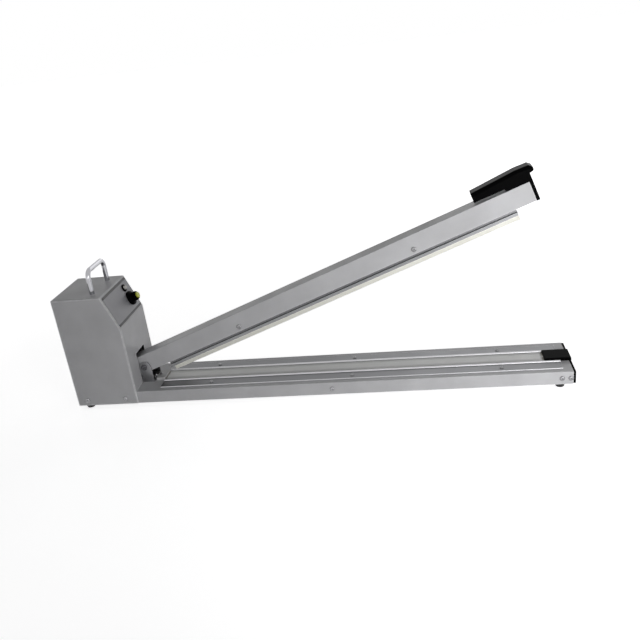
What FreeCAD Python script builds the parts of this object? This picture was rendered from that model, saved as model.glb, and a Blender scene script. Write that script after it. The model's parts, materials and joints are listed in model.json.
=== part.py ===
import FreeCAD, Part
import math
import os
import re
import Sketcher

# Hand impulse heat sealer: a long bed with a hot band, a hinged pressing arm and a box with the timer.
# Frame: X along the bed towards the grip end, Y across, Z up from the feet's soles, in millimetres.

Vector = FreeCAD.Vector

# Driving sizes
SIZES = {
    "body_length": 800,
    "base_width": 101,
    "base_height": 21,
    "base_wall": 2,
    "deck_thickness": 2.2,
    "base_lip": 16,
    "edge_round": 1.2,
    "foot_height": 6,
    "foot_top": 15,
    "foot_sole": 12.5,
    "foot_recess": 9,
    "foot_recess_depth": 3.2,
    "foot_rear_inset": 17,
    "foot_end_inset": 22,
    "foot_side_inset": 8,
    "housing_length": 105,
    "housing_top_length": 83,
    "housing_height": 189.5,
    "slant_low_height": 134,
    "sheet_thickness": 1.2,
    "bend_radius": 2,
    "fit_gap": 0.1,
    "slot_side_gap": 1,
    "slot_top_gap": 7,
    "side_screw_rise": 10,
    "housing_screw_rear": 18,
    "housing_screw_front": 84.5,
    "brace_clear": 19.5,
    "brace_length": 24,
    "end_plate": 3.5,
    "end_corner": 3,
    "end_screw_outer": 7,
    "end_screw_inner": 20,
    "lug_length": 26,
    "lug_width": 9,
    "block_reach": 40,
    "block_width": 31,
    "block_height": 5,
    "bed_margin": 10,
    "bed_thickness": 1.5,
    "bed_floor": 0.8,
    "bed_ahead": 38.5,
    "bed_stop_inset": 17,
    "bed_screw_inset": 10,
    "bed_screw_near_inset": 84.5,
    "bed_screw_far_inset": 90,
    "ridge_width": 4,
    "ridge_spacing": 36,
    "ridge_height": 3.4,
    "ridge_groove": 1.4,
    "board_side_gap": 0.9,
    "board_thickness": 1.2,
    "band_width": 5,
    "band_thickness": 0.25,
    "cloth_side_gap": 0.4,
    "cloth_thickness": 0.2,
    "cloth_inset": 2,
    "terminal_ahead": 23.5,
    "terminal_length": 14.5,
    "terminal_width": 28,
    "terminal_height": 5,
    "band_slot_depth": 5,
    "pivot_ahead": 8.2,
    "pivot_rise": 27.2,
    "pivot_bolt": 6,
    "pivot_head": 10,
    "pivot_head_height": 3,
    "running_gap": 0.05,
    "bush_outside": 10,
    "cheek_thickness": 2,
    "cheek_side_gap": 0.6,
    "cheek_back": 6.4,
    "cheek_front": 12.6,
    "cheek_crown": 9.6,
    "arm_open_angle": 20.8,
    "arm_width": 30,
    "arm_height": 29.8,
    "arm_wall": 1.8,
    "arm_drop": 10,
    "arm_reach": 674,
    "arm_tail": 30,
    "tail_pin": 4,
    "tail_pin_back": 22,
    "tail_pin_rise": 4,
    "bar_start": 37,
    "seal_start": 44,
    "seal_length": 600,
    "float_travel": 4,
    "seal_gap": 0.3,
    "seal_width": 14,
    "seal_height": 7.2,
    "tongue_width": 9.8,
    "tongue_height": 1.4,
    "bar_flange_width": 16,
    "bar_flange_height": 4.5,
    "bar_web": 4,
    "bar_top_width": 13,
    "bar_top_thickness": 2,
    "float_screw_near": 183.5,
    "float_screw_far": 488,
    "float_screw_drop": 2.4,
    "float_spring_outside": 10,
    "float_spring_wire": 1.2,
    "spring_seat_gap": 0.15,
    "grip_length": 92,
    "grip_plate": 5,
    "grip_foot": 33,
    "grip_lift": 4.4,
    "grip_low_height": 18,
    "grip_high_height": 22.2,
    "grip_nose": 6.8,
    "grip_crown_round": 6,
    "grip_nose_round": 3,
    "panel_end_margin": 2.8,
    "panel_side_margin": 2,
    "panel_thickness": 0.8,
    "panel_corner": 2,
    "knob_down": 36,
    "knob_edge": 23.5,
    "knob_skirt": 24.4,
    "knob_skirt_height": 3.2,
    "knob_grip": 15.4,
    "knob_height": 14,
    "knob_lift": 0.5,
    "flute_width": 2.2,
    "cap_width": 10.4,
    "cap_height": 3.2,
    "cap_seat": 1,
    "shaft_width": 6,
    "bushing_width": 9,
    "pot_width": 17,
    "pot_depth": 9,
    "pot_nut_across": 12,
    "pot_nut_height": 2,
    "lamp_down": 16,
    "lamp_width": 9,
    "lamp_bezel": 13,
    "lamp_bezel_height": 1.6,
    "lamp_dome": 4,
    "lamp_depth": 8.5,
    "board_length": 44,
    "board_span": 64,
    "circuit_thickness": 1.6,
    "handle_ahead": 62.5,
    "handle_edge": 19.5,
    "handle_rod": 8,
    "handle_height": 41,
    "handle_bend": 11,
    "core_side_room": 12.5,
    "core_height": 64,
    "core_stack": 36,
    "core_leg": 12.5,
    "core_inset": 17,
    "coil_bulge": 10,
    "coil_gap": 0.3,
    "strap_thickness": 1.5,
    "strap_length": 22,
    "strap_foot": 9,
    "switch_length": 27.8,
    "switch_width": 10.2,
    "switch_height": 15.9,
    "switch_back": 4.5,
    "plunger_width": 3,
    "plunger_out": 2,
    "plunger_travel": 1.5,
    "plunger_gap": 0.3,
    "plunger_back": 17,
    "bracket_thickness": 1.5,
    "bracket_clear": 3,
    "bracket_foot": 14,
    "gland_flange": 2.5,
    "gland_outside": 18,
    "gland_neck": 14,
    "gland_bore": 7.2,
    "gland_rise": 22,
    "spring_outside": 9,
    "spring_wire": 1.2,
    "spring_turns": 8,
    "anchor_pin": 3,
    "anchor_length": 22,
    "anchor_hole": 13,
    "screw_shank": 4,
    "screw_head": 7.8,
    "screw_head_height": 2.6,
    "small_shank": 3,
    "small_head": 5.6,
    "small_head_height": 2,
    "nut_across": 7,
    "nut_height": 3.2,
    "screw_clear": 0.2,
    "cut_margin": 1,
}

# Places that follow from the driving sizes
PLACES = {
    "rear_x": "gland_flange / 2 - body_length / 2",
    "end_x": "rear_x + body_length",
    "deck_z": "foot_height + base_height",
    "under_deck_z": "deck_z - deck_thickness",
    "half_base": "base_width / 2",
    "half_inside": "half_base - base_wall",
    "base_from": "rear_x + sheet_thickness + fit_gap",
    "base_to": "end_x - end_plate",
    "front_x": "rear_x + housing_length",
    "slant_x": "rear_x + housing_top_length",
    "top_z": "foot_height + housing_height",
    "slant_low_z": "foot_height + slant_low_height",
    "slant_tilt": "atan2(top_z - slant_low_z; front_x - slant_x)",
    "half_shell": "half_base + fit_gap + sheet_thickness",
    "screw_z": "foot_height + side_screw_rise",
    "bed_width": "base_width - bed_margin * 2",
    "board_width": "ridge_spacing - ridge_width - board_side_gap * 2",
    "cloth_width": "board_width - cloth_side_gap * 2",
    "slant_length": "sqrt((top_z - slant_low_z)^2 + (front_x - slant_x)^2)",
    "panel_length": "slant_length - panel_end_margin * 2",
    "panel_width": "base_width - panel_side_margin * 2",
    "knob_side": "half_base - knob_edge",
    "handle_span": "base_width - handle_edge * 2",
    "core_width": "base_width - core_side_room * 2",
    "pivot_x": "front_x + pivot_ahead",
    "pivot_z": "deck_z + pivot_rise",
    "arm_top": "arm_height - arm_drop",
    "half_arm": "arm_width / 2",
    "half_clevis": "half_arm + cheek_side_gap + cheek_thickness",
    "bed_from": "front_x + bed_ahead",
    "bed_to": "end_x - bed_stop_inset",
    "first_screw_x": "bed_from + bed_screw_near_inset",
    "last_screw_x": "bed_to - bed_screw_far_inset",
    "middle_screw_x": "(first_screw_x + last_screw_x) / 2",
    "brace_x": "middle_screw_x - brace_clear - brace_length / 2",
    "floor_z": "deck_z + bed_floor",
    "board_z": "floor_z + board_thickness",
    "cloth_z": "board_z + cloth_thickness",
    "board_to": "end_x - block_reach - seal_gap",
    "seal_low": "cloth_z + seal_gap - pivot_z - float_travel",
    "seal_high": "seal_low + seal_height",
    "flange_high": "seal_high + bar_flange_height",
    "bar_high": "bar_top_thickness + 1",
    "bar_length": "seal_start + seal_length - bar_start",
    "knob_x": "slant_x + knob_down * cos(slant_tilt)",
    "knob_z": "top_z - knob_down * sin(slant_tilt)",
    "lamp_x": "slant_x + lamp_down * cos(slant_tilt)",
    "lamp_z": "top_z - lamp_down * sin(slant_tilt)",
    "knob_low": "panel_thickness + knob_lift",
    "handle_x": "rear_x + handle_ahead",
    "plunger_x": "pivot_x - plunger_back",
    "plunger_z": "pivot_z + arm_top + plunger_gap - plunger_travel",
    "switch_z": "plunger_z + plunger_out",
    "bracket_y": "half_arm + bracket_clear",
    "core_x": "rear_x + core_inset",
    "anchor_z": "under_deck_z - anchor_pin / 2",
    "tail_x": "pivot_x - tail_pin_back * cos(arm_open_angle) - tail_pin_rise * sin(arm_open_angle)",
    "tail_z": "pivot_z - tail_pin_back * sin(arm_open_angle) + tail_pin_rise * cos(arm_open_angle)",
}

doc = FreeCAD.newDocument("heat_sealer")
sheet = doc.addObject("Spreadsheet::Sheet", "sizes")


def fill_sheet():
    """Write each driving size and each worked-out place to a named cell."""
    cells = [(name, str(value)) for name, value in SIZES.items()]
    cells += [(name, "=" + formula) for name, formula in PLACES.items()]
    for row, (name, text) in enumerate(cells, start=1):
        sheet.set(f"A{row}", name)
        sheet.set(f"B{row}", text)
        sheet.setAlias(f"B{row}", name)
    doc.recompute()


fill_sheet()
NAMES = re.compile(r"\b(" + "|".join(list(SIZES) + list(PLACES)) + r")\b")
sub_parts = []


def size(name):
    """Plain number of a named cell."""
    value = sheet.get(name)
    return float(getattr(value, "Value", value))


def bind(thing, prop, formula):
    """Tie a property to the sheet, with sizes named bare in the formula."""
    thing.setExpression(prop, NAMES.sub(r"sizes.\1", str(formula)))


def place(thing, x="0", y="0", z="0", axis=None, angle="0"):
    """Bind where a thing stands and how it is turned."""
    if axis:
        thing.Placement = FreeCAD.Placement(Vector(0, 0, 0), FreeCAD.Rotation(Vector(*axis), 1))
        bind(thing, "Placement.Rotation.Angle", angle)
    for letter, formula in zip("xyz", (x, y, z)):
        bind(thing, f"Placement.Base.{letter}", formula)


ARM = {"x": "pivot_x", "z": "pivot_z", "axis": (0, -1, 0), "angle": "arm_open_angle"}
PANEL = {"x": "slant_x", "z": "top_z", "axis": (0, 1, 0), "angle": "slant_tilt"}
KNOB = {"x": "knob_x", "y": "knob_side", "z": "knob_z", "axis": (0, 1, 0), "angle": "slant_tilt"}
LAMP = {"x": "lamp_x", "y": "knob_side", "z": "lamp_z", "axis": (0, 1, 0), "angle": "slant_tilt"}


def keep(thing, label):
    """Name a finished sub-part and list it for writing."""
    thing.Label = label
    sub_parts.append(thing)
    return thing


def new_body(label, frame=None, listed=True):
    """Start a sub-part in its own frame."""
    body = doc.addObject("PartDesign::Body", "body_" + label)
    if frame:
        place(body, **frame)
    if listed:
        keep(body, label)
    return body


def new_sketch(body, role, shift="0", tilt=None):
    """Sketch on one of the body's own planes, moved along its normal or laid on the slanted panel."""
    sketch = body.newObject("Sketcher::SketchObject", "sketch")
    support = next(plane for plane in body.Origin.OriginFeatures if plane.Role == role)
    sketch.AttachmentSupport = (support, [""])
    sketch.MapMode = "FlatFace"
    if tilt:
        sketch.AttachmentOffset = FreeCAD.Placement(Vector(0, 0, 0), FreeCAD.Rotation(Vector(0, 1, 0), 1))
        bind(sketch, "AttachmentOffset.Base.x", "slant_x")
        bind(sketch, "AttachmentOffset.Base.y", "0")
        bind(sketch, "AttachmentOffset.Base.z", "top_z")
        bind(sketch, "AttachmentOffset.Rotation.Angle", "slant_tilt")
    else:
        bind(sketch, "AttachmentOffset.Base.z", shift)
    return sketch


def pin_point(sketch, item, end, x, y, start):
    """Hold one point of the sketch at a place given by two formulas."""
    for kind, formula, value in (("DistanceX", x, start[0]), ("DistanceY", y, start[1])):
        index = sketch.addConstraint(Sketcher.Constraint(kind, -1, 1, item, end, value))
        bind(sketch, f"Constraints[{index}]", formula)


# Size of the first rough outline, before its corners are pinned
ROUGH_RADIUS = 9


def outline(sketch, points):
    """Closed outline of straight runs through the given corners."""
    count = len(points)
    turn = 2 * math.pi / count
    starts = [(ROUGH_RADIUS * math.cos(turn * i), ROUGH_RADIUS * math.sin(turn * i)) for i in range(count)]
    first = sketch.GeometryCount
    for i in range(count):
        here, there = starts[i], starts[(i + 1) % count]
        sketch.addGeometry(Part.LineSegment(Vector(*here, 0), Vector(*there, 0)), False)
    for i in range(count):
        sketch.addConstraint(Sketcher.Constraint("Coincident", first + i, 2, first + (i + 1) % count, 1))
    for i, (x, y) in enumerate(points):
        pin_point(sketch, first + i, 1, x, y, starts[i])
    return sketch


def box_outline(sketch, low_x, low_y, high_x, high_y):
    """Upright rectangle between two corners."""
    return outline(sketch, [(low_x, low_y), (high_x, low_y), (high_x, high_y), (low_x, high_y)])


def disc(sketch, x, y, width):
    """Circle of a given width about a point."""
    item = sketch.addGeometry(Part.Circle(Vector(1, 1, 0), Vector(0, 0, 1), 2), False)
    pin_point(sketch, item, 3, x, y, (1, 1))
    index = sketch.addConstraint(Sketcher.Constraint("Diameter", item, 4))
    bind(sketch, f"Constraints[{index}]", width)
    return sketch


def pad(body, sketch, length, both=False):
    """Extrude a sketch along its normal, or evenly both ways."""
    feature = body.newObject("PartDesign::Pad", "pad")
    feature.Profile = sketch
    feature.Midplane = both
    bind(feature, "Length", length)
    return feature


def pocket(body, sketch, length, both=False):
    """Cut a sketch into the body against its normal, or evenly both ways, and see that it cuts."""
    doc.recompute()
    before = body.Shape.Volume
    feature = body.newObject("PartDesign::Pocket", "pocket")
    feature.Profile = sketch
    feature.Midplane = both
    bind(feature, "Length", length)
    doc.recompute()
    if body.Shape.Volume > before - 1e-6:
        raise ValueError(f"a cut in {body.Label} removes nothing")
    return feature


def turned(body, points):
    """Solid of revolution about the body's Z axis from a half outline of radius and height."""
    sketch = outline(new_sketch(body, "XZ_Plane"), points)
    feature = body.newObject("PartDesign::Revolution", "turned")
    feature.Profile = sketch
    feature.ReferenceAxis = (sketch, ["V_Axis"])
    feature.Angle = 360
    return feature


def soften(body, radius, pick):
    """Round the edges that the test picks."""
    doc.recompute()
    base = body.Tip
    edges = [f"Edge{i}" for i, edge in enumerate(base.Shape.Edges, start=1) if pick(edge)]
    feature = body.newObject("PartDesign::Fillet", "round")
    feature.Base = (base, edges)
    bind(feature, "Radius", radius)
    return feature


def runs_along(edge, direction):
    """True for a straight edge parallel to the direction."""
    if not isinstance(edge.Curve, Part.Line):
        return False
    return abs(abs(edge.Curve.Direction.dot(Vector(*direction))) - 1) < 1e-6


def extrusion(label, points, start, length, frame=None):
    """Bar of constant section along X, the section given in Y and Z."""
    body = new_body(label, frame)
    pad(body, outline(new_sketch(body, "YZ_Plane", start), points), length)
    return body


def cross_holes(body, centres, width, reach):
    """Round holes across the body, along Y, at places in X and Z."""
    sketch = new_sketch(body, "XZ_Plane")
    for x, z in centres:
        disc(sketch, x, z, width)
    pocket(body, sketch, reach, both=True)


def down_holes(body, centres, width, level, depth):
    """Round holes downwards from a level, at places in X and Y."""
    sketch = new_sketch(body, "XY_Plane", level)
    for x, y in centres:
        disc(sketch, x, y, width)
    pocket(body, sketch, depth)


def copies(label, master, spots, frame=None):
    """Group of separate copies of one piece, each spot given as arguments of place()."""
    links = []
    for spot in spots:
        link = doc.addObject("App::Link", "copy_" + label)
        link.LinkedObject = master
        place(link, **spot)
        links.append(link)
    group = doc.addObject("Part::Compound", "group_" + label)
    group.Links = links
    if frame:
        place(group, **frame)
    return keep(group, label)


def cross_recess(body, head, tall):
    """Cross-shaped driver recess sunk into the top of a head."""
    reach, blade = f"{head} * 0.27", f"{head} * 0.07"
    quarter = [(reach, blade), (blade, blade), (blade, reach)]
    corners = list(quarter)
    corners += [(f"-({x})", y) for x, y in reversed(quarter)]
    corners += [(f"-({x})", f"-({y})") for x, y in quarter]
    corners += [(x, f"-({y})") for x, y in reversed(quarter)]
    pocket(body, outline(new_sketch(body, "XY_Plane", tall), corners), f"{tall} * 0.55")


def screw(kind, length):
    """Domed screw along Z: the head stands on Z = 0, the shank points down."""
    head, tall, shank = f"{kind}_head", f"{kind}_head_height", f"{kind}_shank"
    body = new_body(f"pattern_{kind}", listed=False)
    turned(body, [
        ("0", tall),
        (f"{head} * 0.3", tall),
        (f"{head} / 2", f"{tall} * 0.45"),
        (f"{head} / 2", "0"),
        (f"{shank} / 2", "0"),
        (f"{shank} / 2", f"-({length})"),
        ("0", f"-({length})"),
    ])
    cross_recess(body, head, tall)
    return body


def hex_nut(label, across, height, bore, listed_frame=None):
    """Six-sided nut along Z, standing on Z = 0."""
    prism = doc.addObject("Part::Prism", "prism_" + label)
    prism.Polygon = 6
    bind(prism, "Circumradius", f"{across} / 2 / cos(30)")
    bind(prism, "Height", height)
    hole = doc.addObject("Part::Cylinder", "hole_" + label)
    bind(hole, "Radius", f"({bore}) / 2")
    bind(hole, "Height", height)
    nut = doc.addObject("Part::Cut", "nut_" + label)
    nut.Base = prism
    nut.Tool = hole
    if listed_frame:
        place(nut, **listed_frame)
        keep(nut, label)
    return nut


FACE_FRONT = {"axis": (1, 0, 0), "angle": "90"}
FACE_BACK = {"axis": (1, 0, 0), "angle": "-90"}
FACE_DOWN = {"axis": (1, 0, 0), "angle": "180"}


def both_sides(xs, z, reach):
    """Spots for screws on the front and the back face at the given places along X."""
    front = [dict(x=x, y=f"-({reach})", z=z, **FACE_FRONT) for x in xs]
    return front + [dict(x=x, y=reach, z=z, **FACE_BACK) for x in xs]


# Base: channel, brace, end cap and feet
END_SCREWS = ["end_x - end_screw_outer", "end_x - end_screw_inner"]
HOUSING_SCREWS = ["rear_x + housing_screw_rear", "rear_x + housing_screw_front"]
BRACE_SCREW = ["brace_x"]
FOOT_X = {"hinge": "rear_x + foot_rear_inset", "grip": "end_x - foot_end_inset"}
FOOT_Y = {"front": "foot_side_inset - half_base", "back": "half_base - foot_side_inset"}
FOOT_SPOTS = [(x, y) for x in FOOT_X.values() for y in FOOT_Y.values()]
HINGE_SCREWS = [("pivot_x - cheek_back + 5", "0"), ("pivot_x + cheek_front - 5", "0")]
STRAP_SCREWS = [("core_x + core_stack / 2", f"{side}(core_width / 2 + strap_thickness + strap_foot / 2)")
                for side in ("-", "")]
BRACKET_SCREW = ("plunger_x", "bracket_y + bracket_foot / 2")
BED_SCREWS = [(x, f"{side}(bed_width / 2 - bed_screw_inset)") for side in ("-", "")
              for x in ("first_screw_x", "middle_screw_x", "last_screw_x")]


def make_base_channel():
    """Folded channel with inward lips, drilled for every screw that it takes."""
    body = extrusion("base_channel", [
        ("-half_base", "foot_height"),
        ("-half_base", "deck_z"),
        ("half_base", "deck_z"),
        ("half_base", "foot_height"),
        ("half_base - base_lip", "foot_height"),
        ("half_base - base_lip", "foot_height + base_wall"),
        ("half_inside", "foot_height + base_wall"),
        ("half_inside", "under_deck_z"),
        ("-half_inside", "under_deck_z"),
        ("-half_inside", "foot_height + base_wall"),
        ("base_lip - half_base", "foot_height + base_wall"),
        ("base_lip - half_base", "foot_height"),
    ], "base_from", "base_to - base_from")
    deck, wide = size("deck_z"), size("half_base")
    soften(body, "edge_round", lambda edge: runs_along(edge, (1, 0, 0))
           and abs(edge.CenterOfMass.z - deck) < 1e-6 and abs(abs(edge.CenterOfMass.y) - wide) < 1e-6)
    spots = [(x, "screw_z") for x in END_SCREWS + HOUSING_SCREWS + BRACE_SCREW]
    cross_holes(body, spots, "screw_shank + screw_clear", "base_width + cut_margin")
    down_holes(body, FOOT_SPOTS, "screw_shank + screw_clear", "foot_height + base_wall", "base_wall")
    small = HINGE_SCREWS + STRAP_SCREWS + [BRACKET_SCREW]
    down_holes(body, small, "screw_shank + screw_clear", "deck_z", "deck_thickness")
    down_holes(body, BED_SCREWS, "small_shank + screw_clear", "deck_z", "deck_thickness")
    down_holes(body, [("tail_x", "0")], "anchor_hole", "deck_z", "deck_thickness")


def make_cross_brace():
    """Hat-shaped spreader under the deck, held by one screw from each side."""
    low = "foot_height + base_wall * 2"
    inside = "half_inside - base_wall"
    body = extrusion("cross_brace", [
        ("-half_inside", low),
        ("-half_inside", "under_deck_z"),
        ("half_inside", "under_deck_z"),
        ("half_inside", low),
        (inside, low),
        (inside, "under_deck_z - base_wall"),
        (f"-({inside})", "under_deck_z - base_wall"),
        (f"-({inside})", low),
    ], "brace_x - brace_length / 2", "brace_length")
    cross_holes(body, [(BRACE_SCREW[0], "screw_z")], "screw_shank + screw_clear", "base_width")


def make_end_cap():
    """Moulded end: plate over the channel, lugs inside it and the block over the band's end."""
    body = new_body("base_end_cap")
    end_face = new_sketch(body, "YZ_Plane", "base_to")
    plate = box_outline(end_face, "-half_base", "foot_height", "half_base", "deck_z")
    pad(body, plate, "end_plate")
    soften(body, "end_corner", lambda edge: runs_along(edge, (1, 0, 0)))
    block = box_outline(new_sketch(body, "YZ_Plane", "end_x - block_reach"),
                        "-block_width / 2", "floor_z", "block_width / 2", "floor_z + block_height")
    pad(body, block, "block_reach")
    lugs = new_sketch(body, "YZ_Plane", "base_to - lug_length")
    inner = "half_inside - fit_gap"
    low, high = "foot_height + base_wall + fit_gap", "under_deck_z - fit_gap"
    box_outline(lugs, f"-({inner})", low, f"lug_width - ({inner})", high)
    box_outline(lugs, f"{inner} - lug_width", low, inner, high)
    pad(body, lugs, "lug_length + end_plate / 2")
    crown = size("floor_z") + size("block_height")
    soften(body, "edge_round", lambda edge: abs(edge.BoundBox.ZMin - crown) < 1e-6)
    cross_holes(body, [(x, "screw_z") for x in END_SCREWS], "screw_shank + screw_clear", "base_width")
    foot_spots = [(FOOT_X["grip"], y) for y in FOOT_Y.values()]
    room = "foot_height + base_wall * 2 + cut_margin"
    down_holes(body, foot_spots, "screw_shank + screw_clear", room, "base_wall + cut_margin")


def make_feet():
    """Tapered rubber feet with a recess for the screw's head."""
    for end, x in FOOT_X.items():
        for side, y in FOOT_Y.items():
            body = new_body(f"foot_{end}_{side}", {"x": x, "y": y})
            bore = "(screw_shank + screw_clear) / 2"
            turned(body, [
                (bore, "foot_recess_depth"),
                ("foot_recess / 2", "foot_recess_depth"),
                ("foot_recess / 2", "0"),
                ("foot_sole / 2", "0"),
                ("foot_top / 2", "foot_height * 0.6"),
                ("foot_top / 2", "foot_height"),
                (bore, "foot_height"),
            ])


def make_base_screws():
    """Screws of the base, one node for each kind of seat."""
    side_screw = screw("screw", "lug_width")
    copies("end_cap_screws", side_screw, both_sides(END_SCREWS, "screw_z", "half_base"))
    short = screw("screw", "base_wall * 2 + sheet_thickness")
    copies("housing_screws", short, both_sides(HOUSING_SCREWS, "screw_z", "half_shell"))
    copies("brace_screws", short, both_sides(BRACE_SCREW, "screw_z", "half_base"))
    foot_screw = screw("screw", "foot_height - foot_recess_depth + base_wall * 2")
    copies("foot_screws", foot_screw,
           [dict(x=x, y=y, z="foot_recess_depth", **FACE_DOWN) for x, y in FOOT_SPOTS])


# Sealing bed
def make_bed():
    """Ridged plate, insulating board, hot band, release cloth and the terminal at the hinge end."""
    outer, inner = "(ridge_spacing + ridge_width) / 2", "(ridge_spacing - ridge_width) / 2"
    wing, ridge = "deck_z + bed_thickness", "deck_z + ridge_height"
    right = [
        ("bed_width / 2", "deck_z"),
        ("bed_width / 2", wing),
        (f"{outer} + ridge_groove", wing),
        (f"{outer} + ridge_groove", "floor_z"),
        (outer, "floor_z"),
        (outer, ridge),
        (inner, ridge),
        (inner, "floor_z"),
    ]
    left = [(f"-({y})", z) for y, z in reversed(right)]
    body = extrusion("bed_plate", right + left, "bed_from", "bed_to - bed_from")
    crest = size("deck_z") + size("ridge_height")
    soften(body, "ridge_width * 0.45", lambda edge: runs_along(edge, (1, 0, 0))
           and abs(edge.CenterOfMass.z - crest) < 1e-6)
    rim = size("bed_width") / 2
    level = size("deck_z") + size("bed_thickness")
    soften(body, "bed_thickness * 0.6", lambda edge: runs_along(edge, (1, 0, 0))
           and abs(edge.CenterOfMass.z - level) < 1e-6 and abs(abs(edge.CenterOfMass.y) - rim) < 1e-6)
    down_holes(body, BED_SCREWS, "small_shank + screw_clear", wing, "bed_thickness")
    copies("bed_screws", screw("small", "bed_thickness + deck_thickness * 1.5"),
           [dict(x=x, y=y, z=wing) for x, y in BED_SCREWS])
    groove = "(band_width + fit_gap * 2) / 2"
    extrusion("insulation_board", [
        ("-board_width / 2", "floor_z"),
        ("board_width / 2", "floor_z"),
        ("board_width / 2", "board_z"),
        (groove, "board_z"),
        (groove, "board_z - band_thickness"),
        (f"-{groove}", "board_z - band_thickness"),
        (f"-{groove}", "board_z"),
        ("-board_width / 2", "board_z"),
    ], "bed_from", "board_to - bed_from")
    band = new_body("heating_band")
    band_from = "front_x + terminal_ahead + terminal_length - band_slot_depth"
    band_end = box_outline(new_sketch(band, "YZ_Plane", band_from),
                           "-band_width / 2", "board_z - band_thickness", "band_width / 2", "board_z")
    pad(band, band_end, f"board_to - ({band_from})")
    cloth = new_body("release_cloth")
    cloth_end = box_outline(new_sketch(cloth, "YZ_Plane", "bed_from + cloth_inset"),
                            "-cloth_width / 2", "board_z", "cloth_width / 2", "cloth_z")
    pad(cloth, cloth_end, "board_to - bed_from - cloth_inset * 2")


TERMINAL_SCREW = ("front_x + terminal_ahead + (terminal_length - band_slot_depth) / 2", "0")


def make_terminal():
    """Block that grips the band at the hinge end, slotted for the band."""
    body = new_body("band_terminal")
    start = "front_x + terminal_ahead"
    pad(body, box_outline(new_sketch(body, "YZ_Plane", start), "-terminal_width / 2", "deck_z",
                          "terminal_width / 2", "deck_z + terminal_height"), "terminal_length")
    soften(body, "edge_round", lambda edge: runs_along(edge, (0, 0, 1)))
    slot = box_outline(new_sketch(body, "YZ_Plane", f"{start} + terminal_length"),
                       "-band_width / 2 - fit_gap", "board_z - band_thickness - fit_gap",
                       "band_width / 2 + fit_gap", "board_z + fit_gap")
    pocket(body, slot, "band_slot_depth + fit_gap")
    depth = "terminal_height * 0.7"
    down_holes(body, [TERMINAL_SCREW], "small_shank + screw_clear", "deck_z + terminal_height", depth)
    copies("terminal_screw", screw("small", f"{depth} - fit_gap"),
           [dict(x=TERMINAL_SCREW[0], y=TERMINAL_SCREW[1], z="deck_z + terminal_height")])


# Hinge
def make_hinge():
    """Clevis on the deck, its bolt and nut, and the screws that hold it down."""
    body = new_body("hinge_bracket")
    back, front = "pivot_x - cheek_back", "pivot_x + cheek_front"
    crown = "pivot_z + cheek_crown"
    side = outline(new_sketch(body, "XZ_Plane"), [
        (back, "deck_z"),
        (front, "deck_z"),
        ("pivot_x + cheek_front * 0.9", "pivot_z"),
        ("pivot_x + cheek_front * 0.6", crown),
        (back, crown),
    ])
    pad(body, side, "half_clevis * 2", both=True)
    top = size("pivot_z") + size("cheek_crown")
    soften(body, "cheek_back * 0.75", lambda edge: runs_along(edge, (0, 1, 0))
           and abs(edge.CenterOfMass.z - top) < 1e-6)
    gap = box_outline(new_sketch(body, "XZ_Plane"), f"{back} - cut_margin", "deck_z + cheek_thickness",
                      f"{front} + cut_margin", f"{crown} + cut_margin")
    pocket(body, gap, "(half_clevis - cheek_thickness) * 2", both=True)
    cross_holes(body, [("pivot_x", "pivot_z")], "pivot_bolt + running_gap * 2", "half_clevis * 3")
    down_holes(body, HINGE_SCREWS, "screw_shank + screw_clear", "deck_z + cheek_thickness", "cheek_thickness")
    copies("hinge_screws", screw("screw", "cheek_thickness + deck_thickness * 1.5"),
           [dict(x=x, y=y, z="deck_z + cheek_thickness") for x, y in HINGE_SCREWS])
    bolt = new_body("pivot_bolt", dict(x="pivot_x", y="-half_clevis", z="pivot_z", **FACE_FRONT))
    length = "half_clevis * 2 + nut_height + cut_margin"
    turned(bolt, [
        ("0", "pivot_head_height"),
        ("pivot_head * 0.3", "pivot_head_height"),
        ("pivot_head / 2", "pivot_head_height * 0.4"),
        ("pivot_head / 2", "0"),
        ("pivot_bolt / 2", "0"),
        ("pivot_bolt / 2", f"-({length})"),
        ("0", f"-({length})"),
    ])
    cross_recess(bolt, "pivot_head", "pivot_head_height")
    hex_nut("pivot_nut", "pivot_head", "nut_height", "pivot_bolt + running_gap * 2",
            dict(x="pivot_x", y="half_clevis", z="pivot_z", **FACE_BACK))


# Pressing arm
FLOAT_SPOTS = [("float_screw_near", "-float_screw_drop"), ("float_screw_far", "-float_screw_drop")]
GRIP_SCREWS = ["arm_reach - grip_foot * 0.75", "arm_reach - grip_foot * 0.3"]


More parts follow.
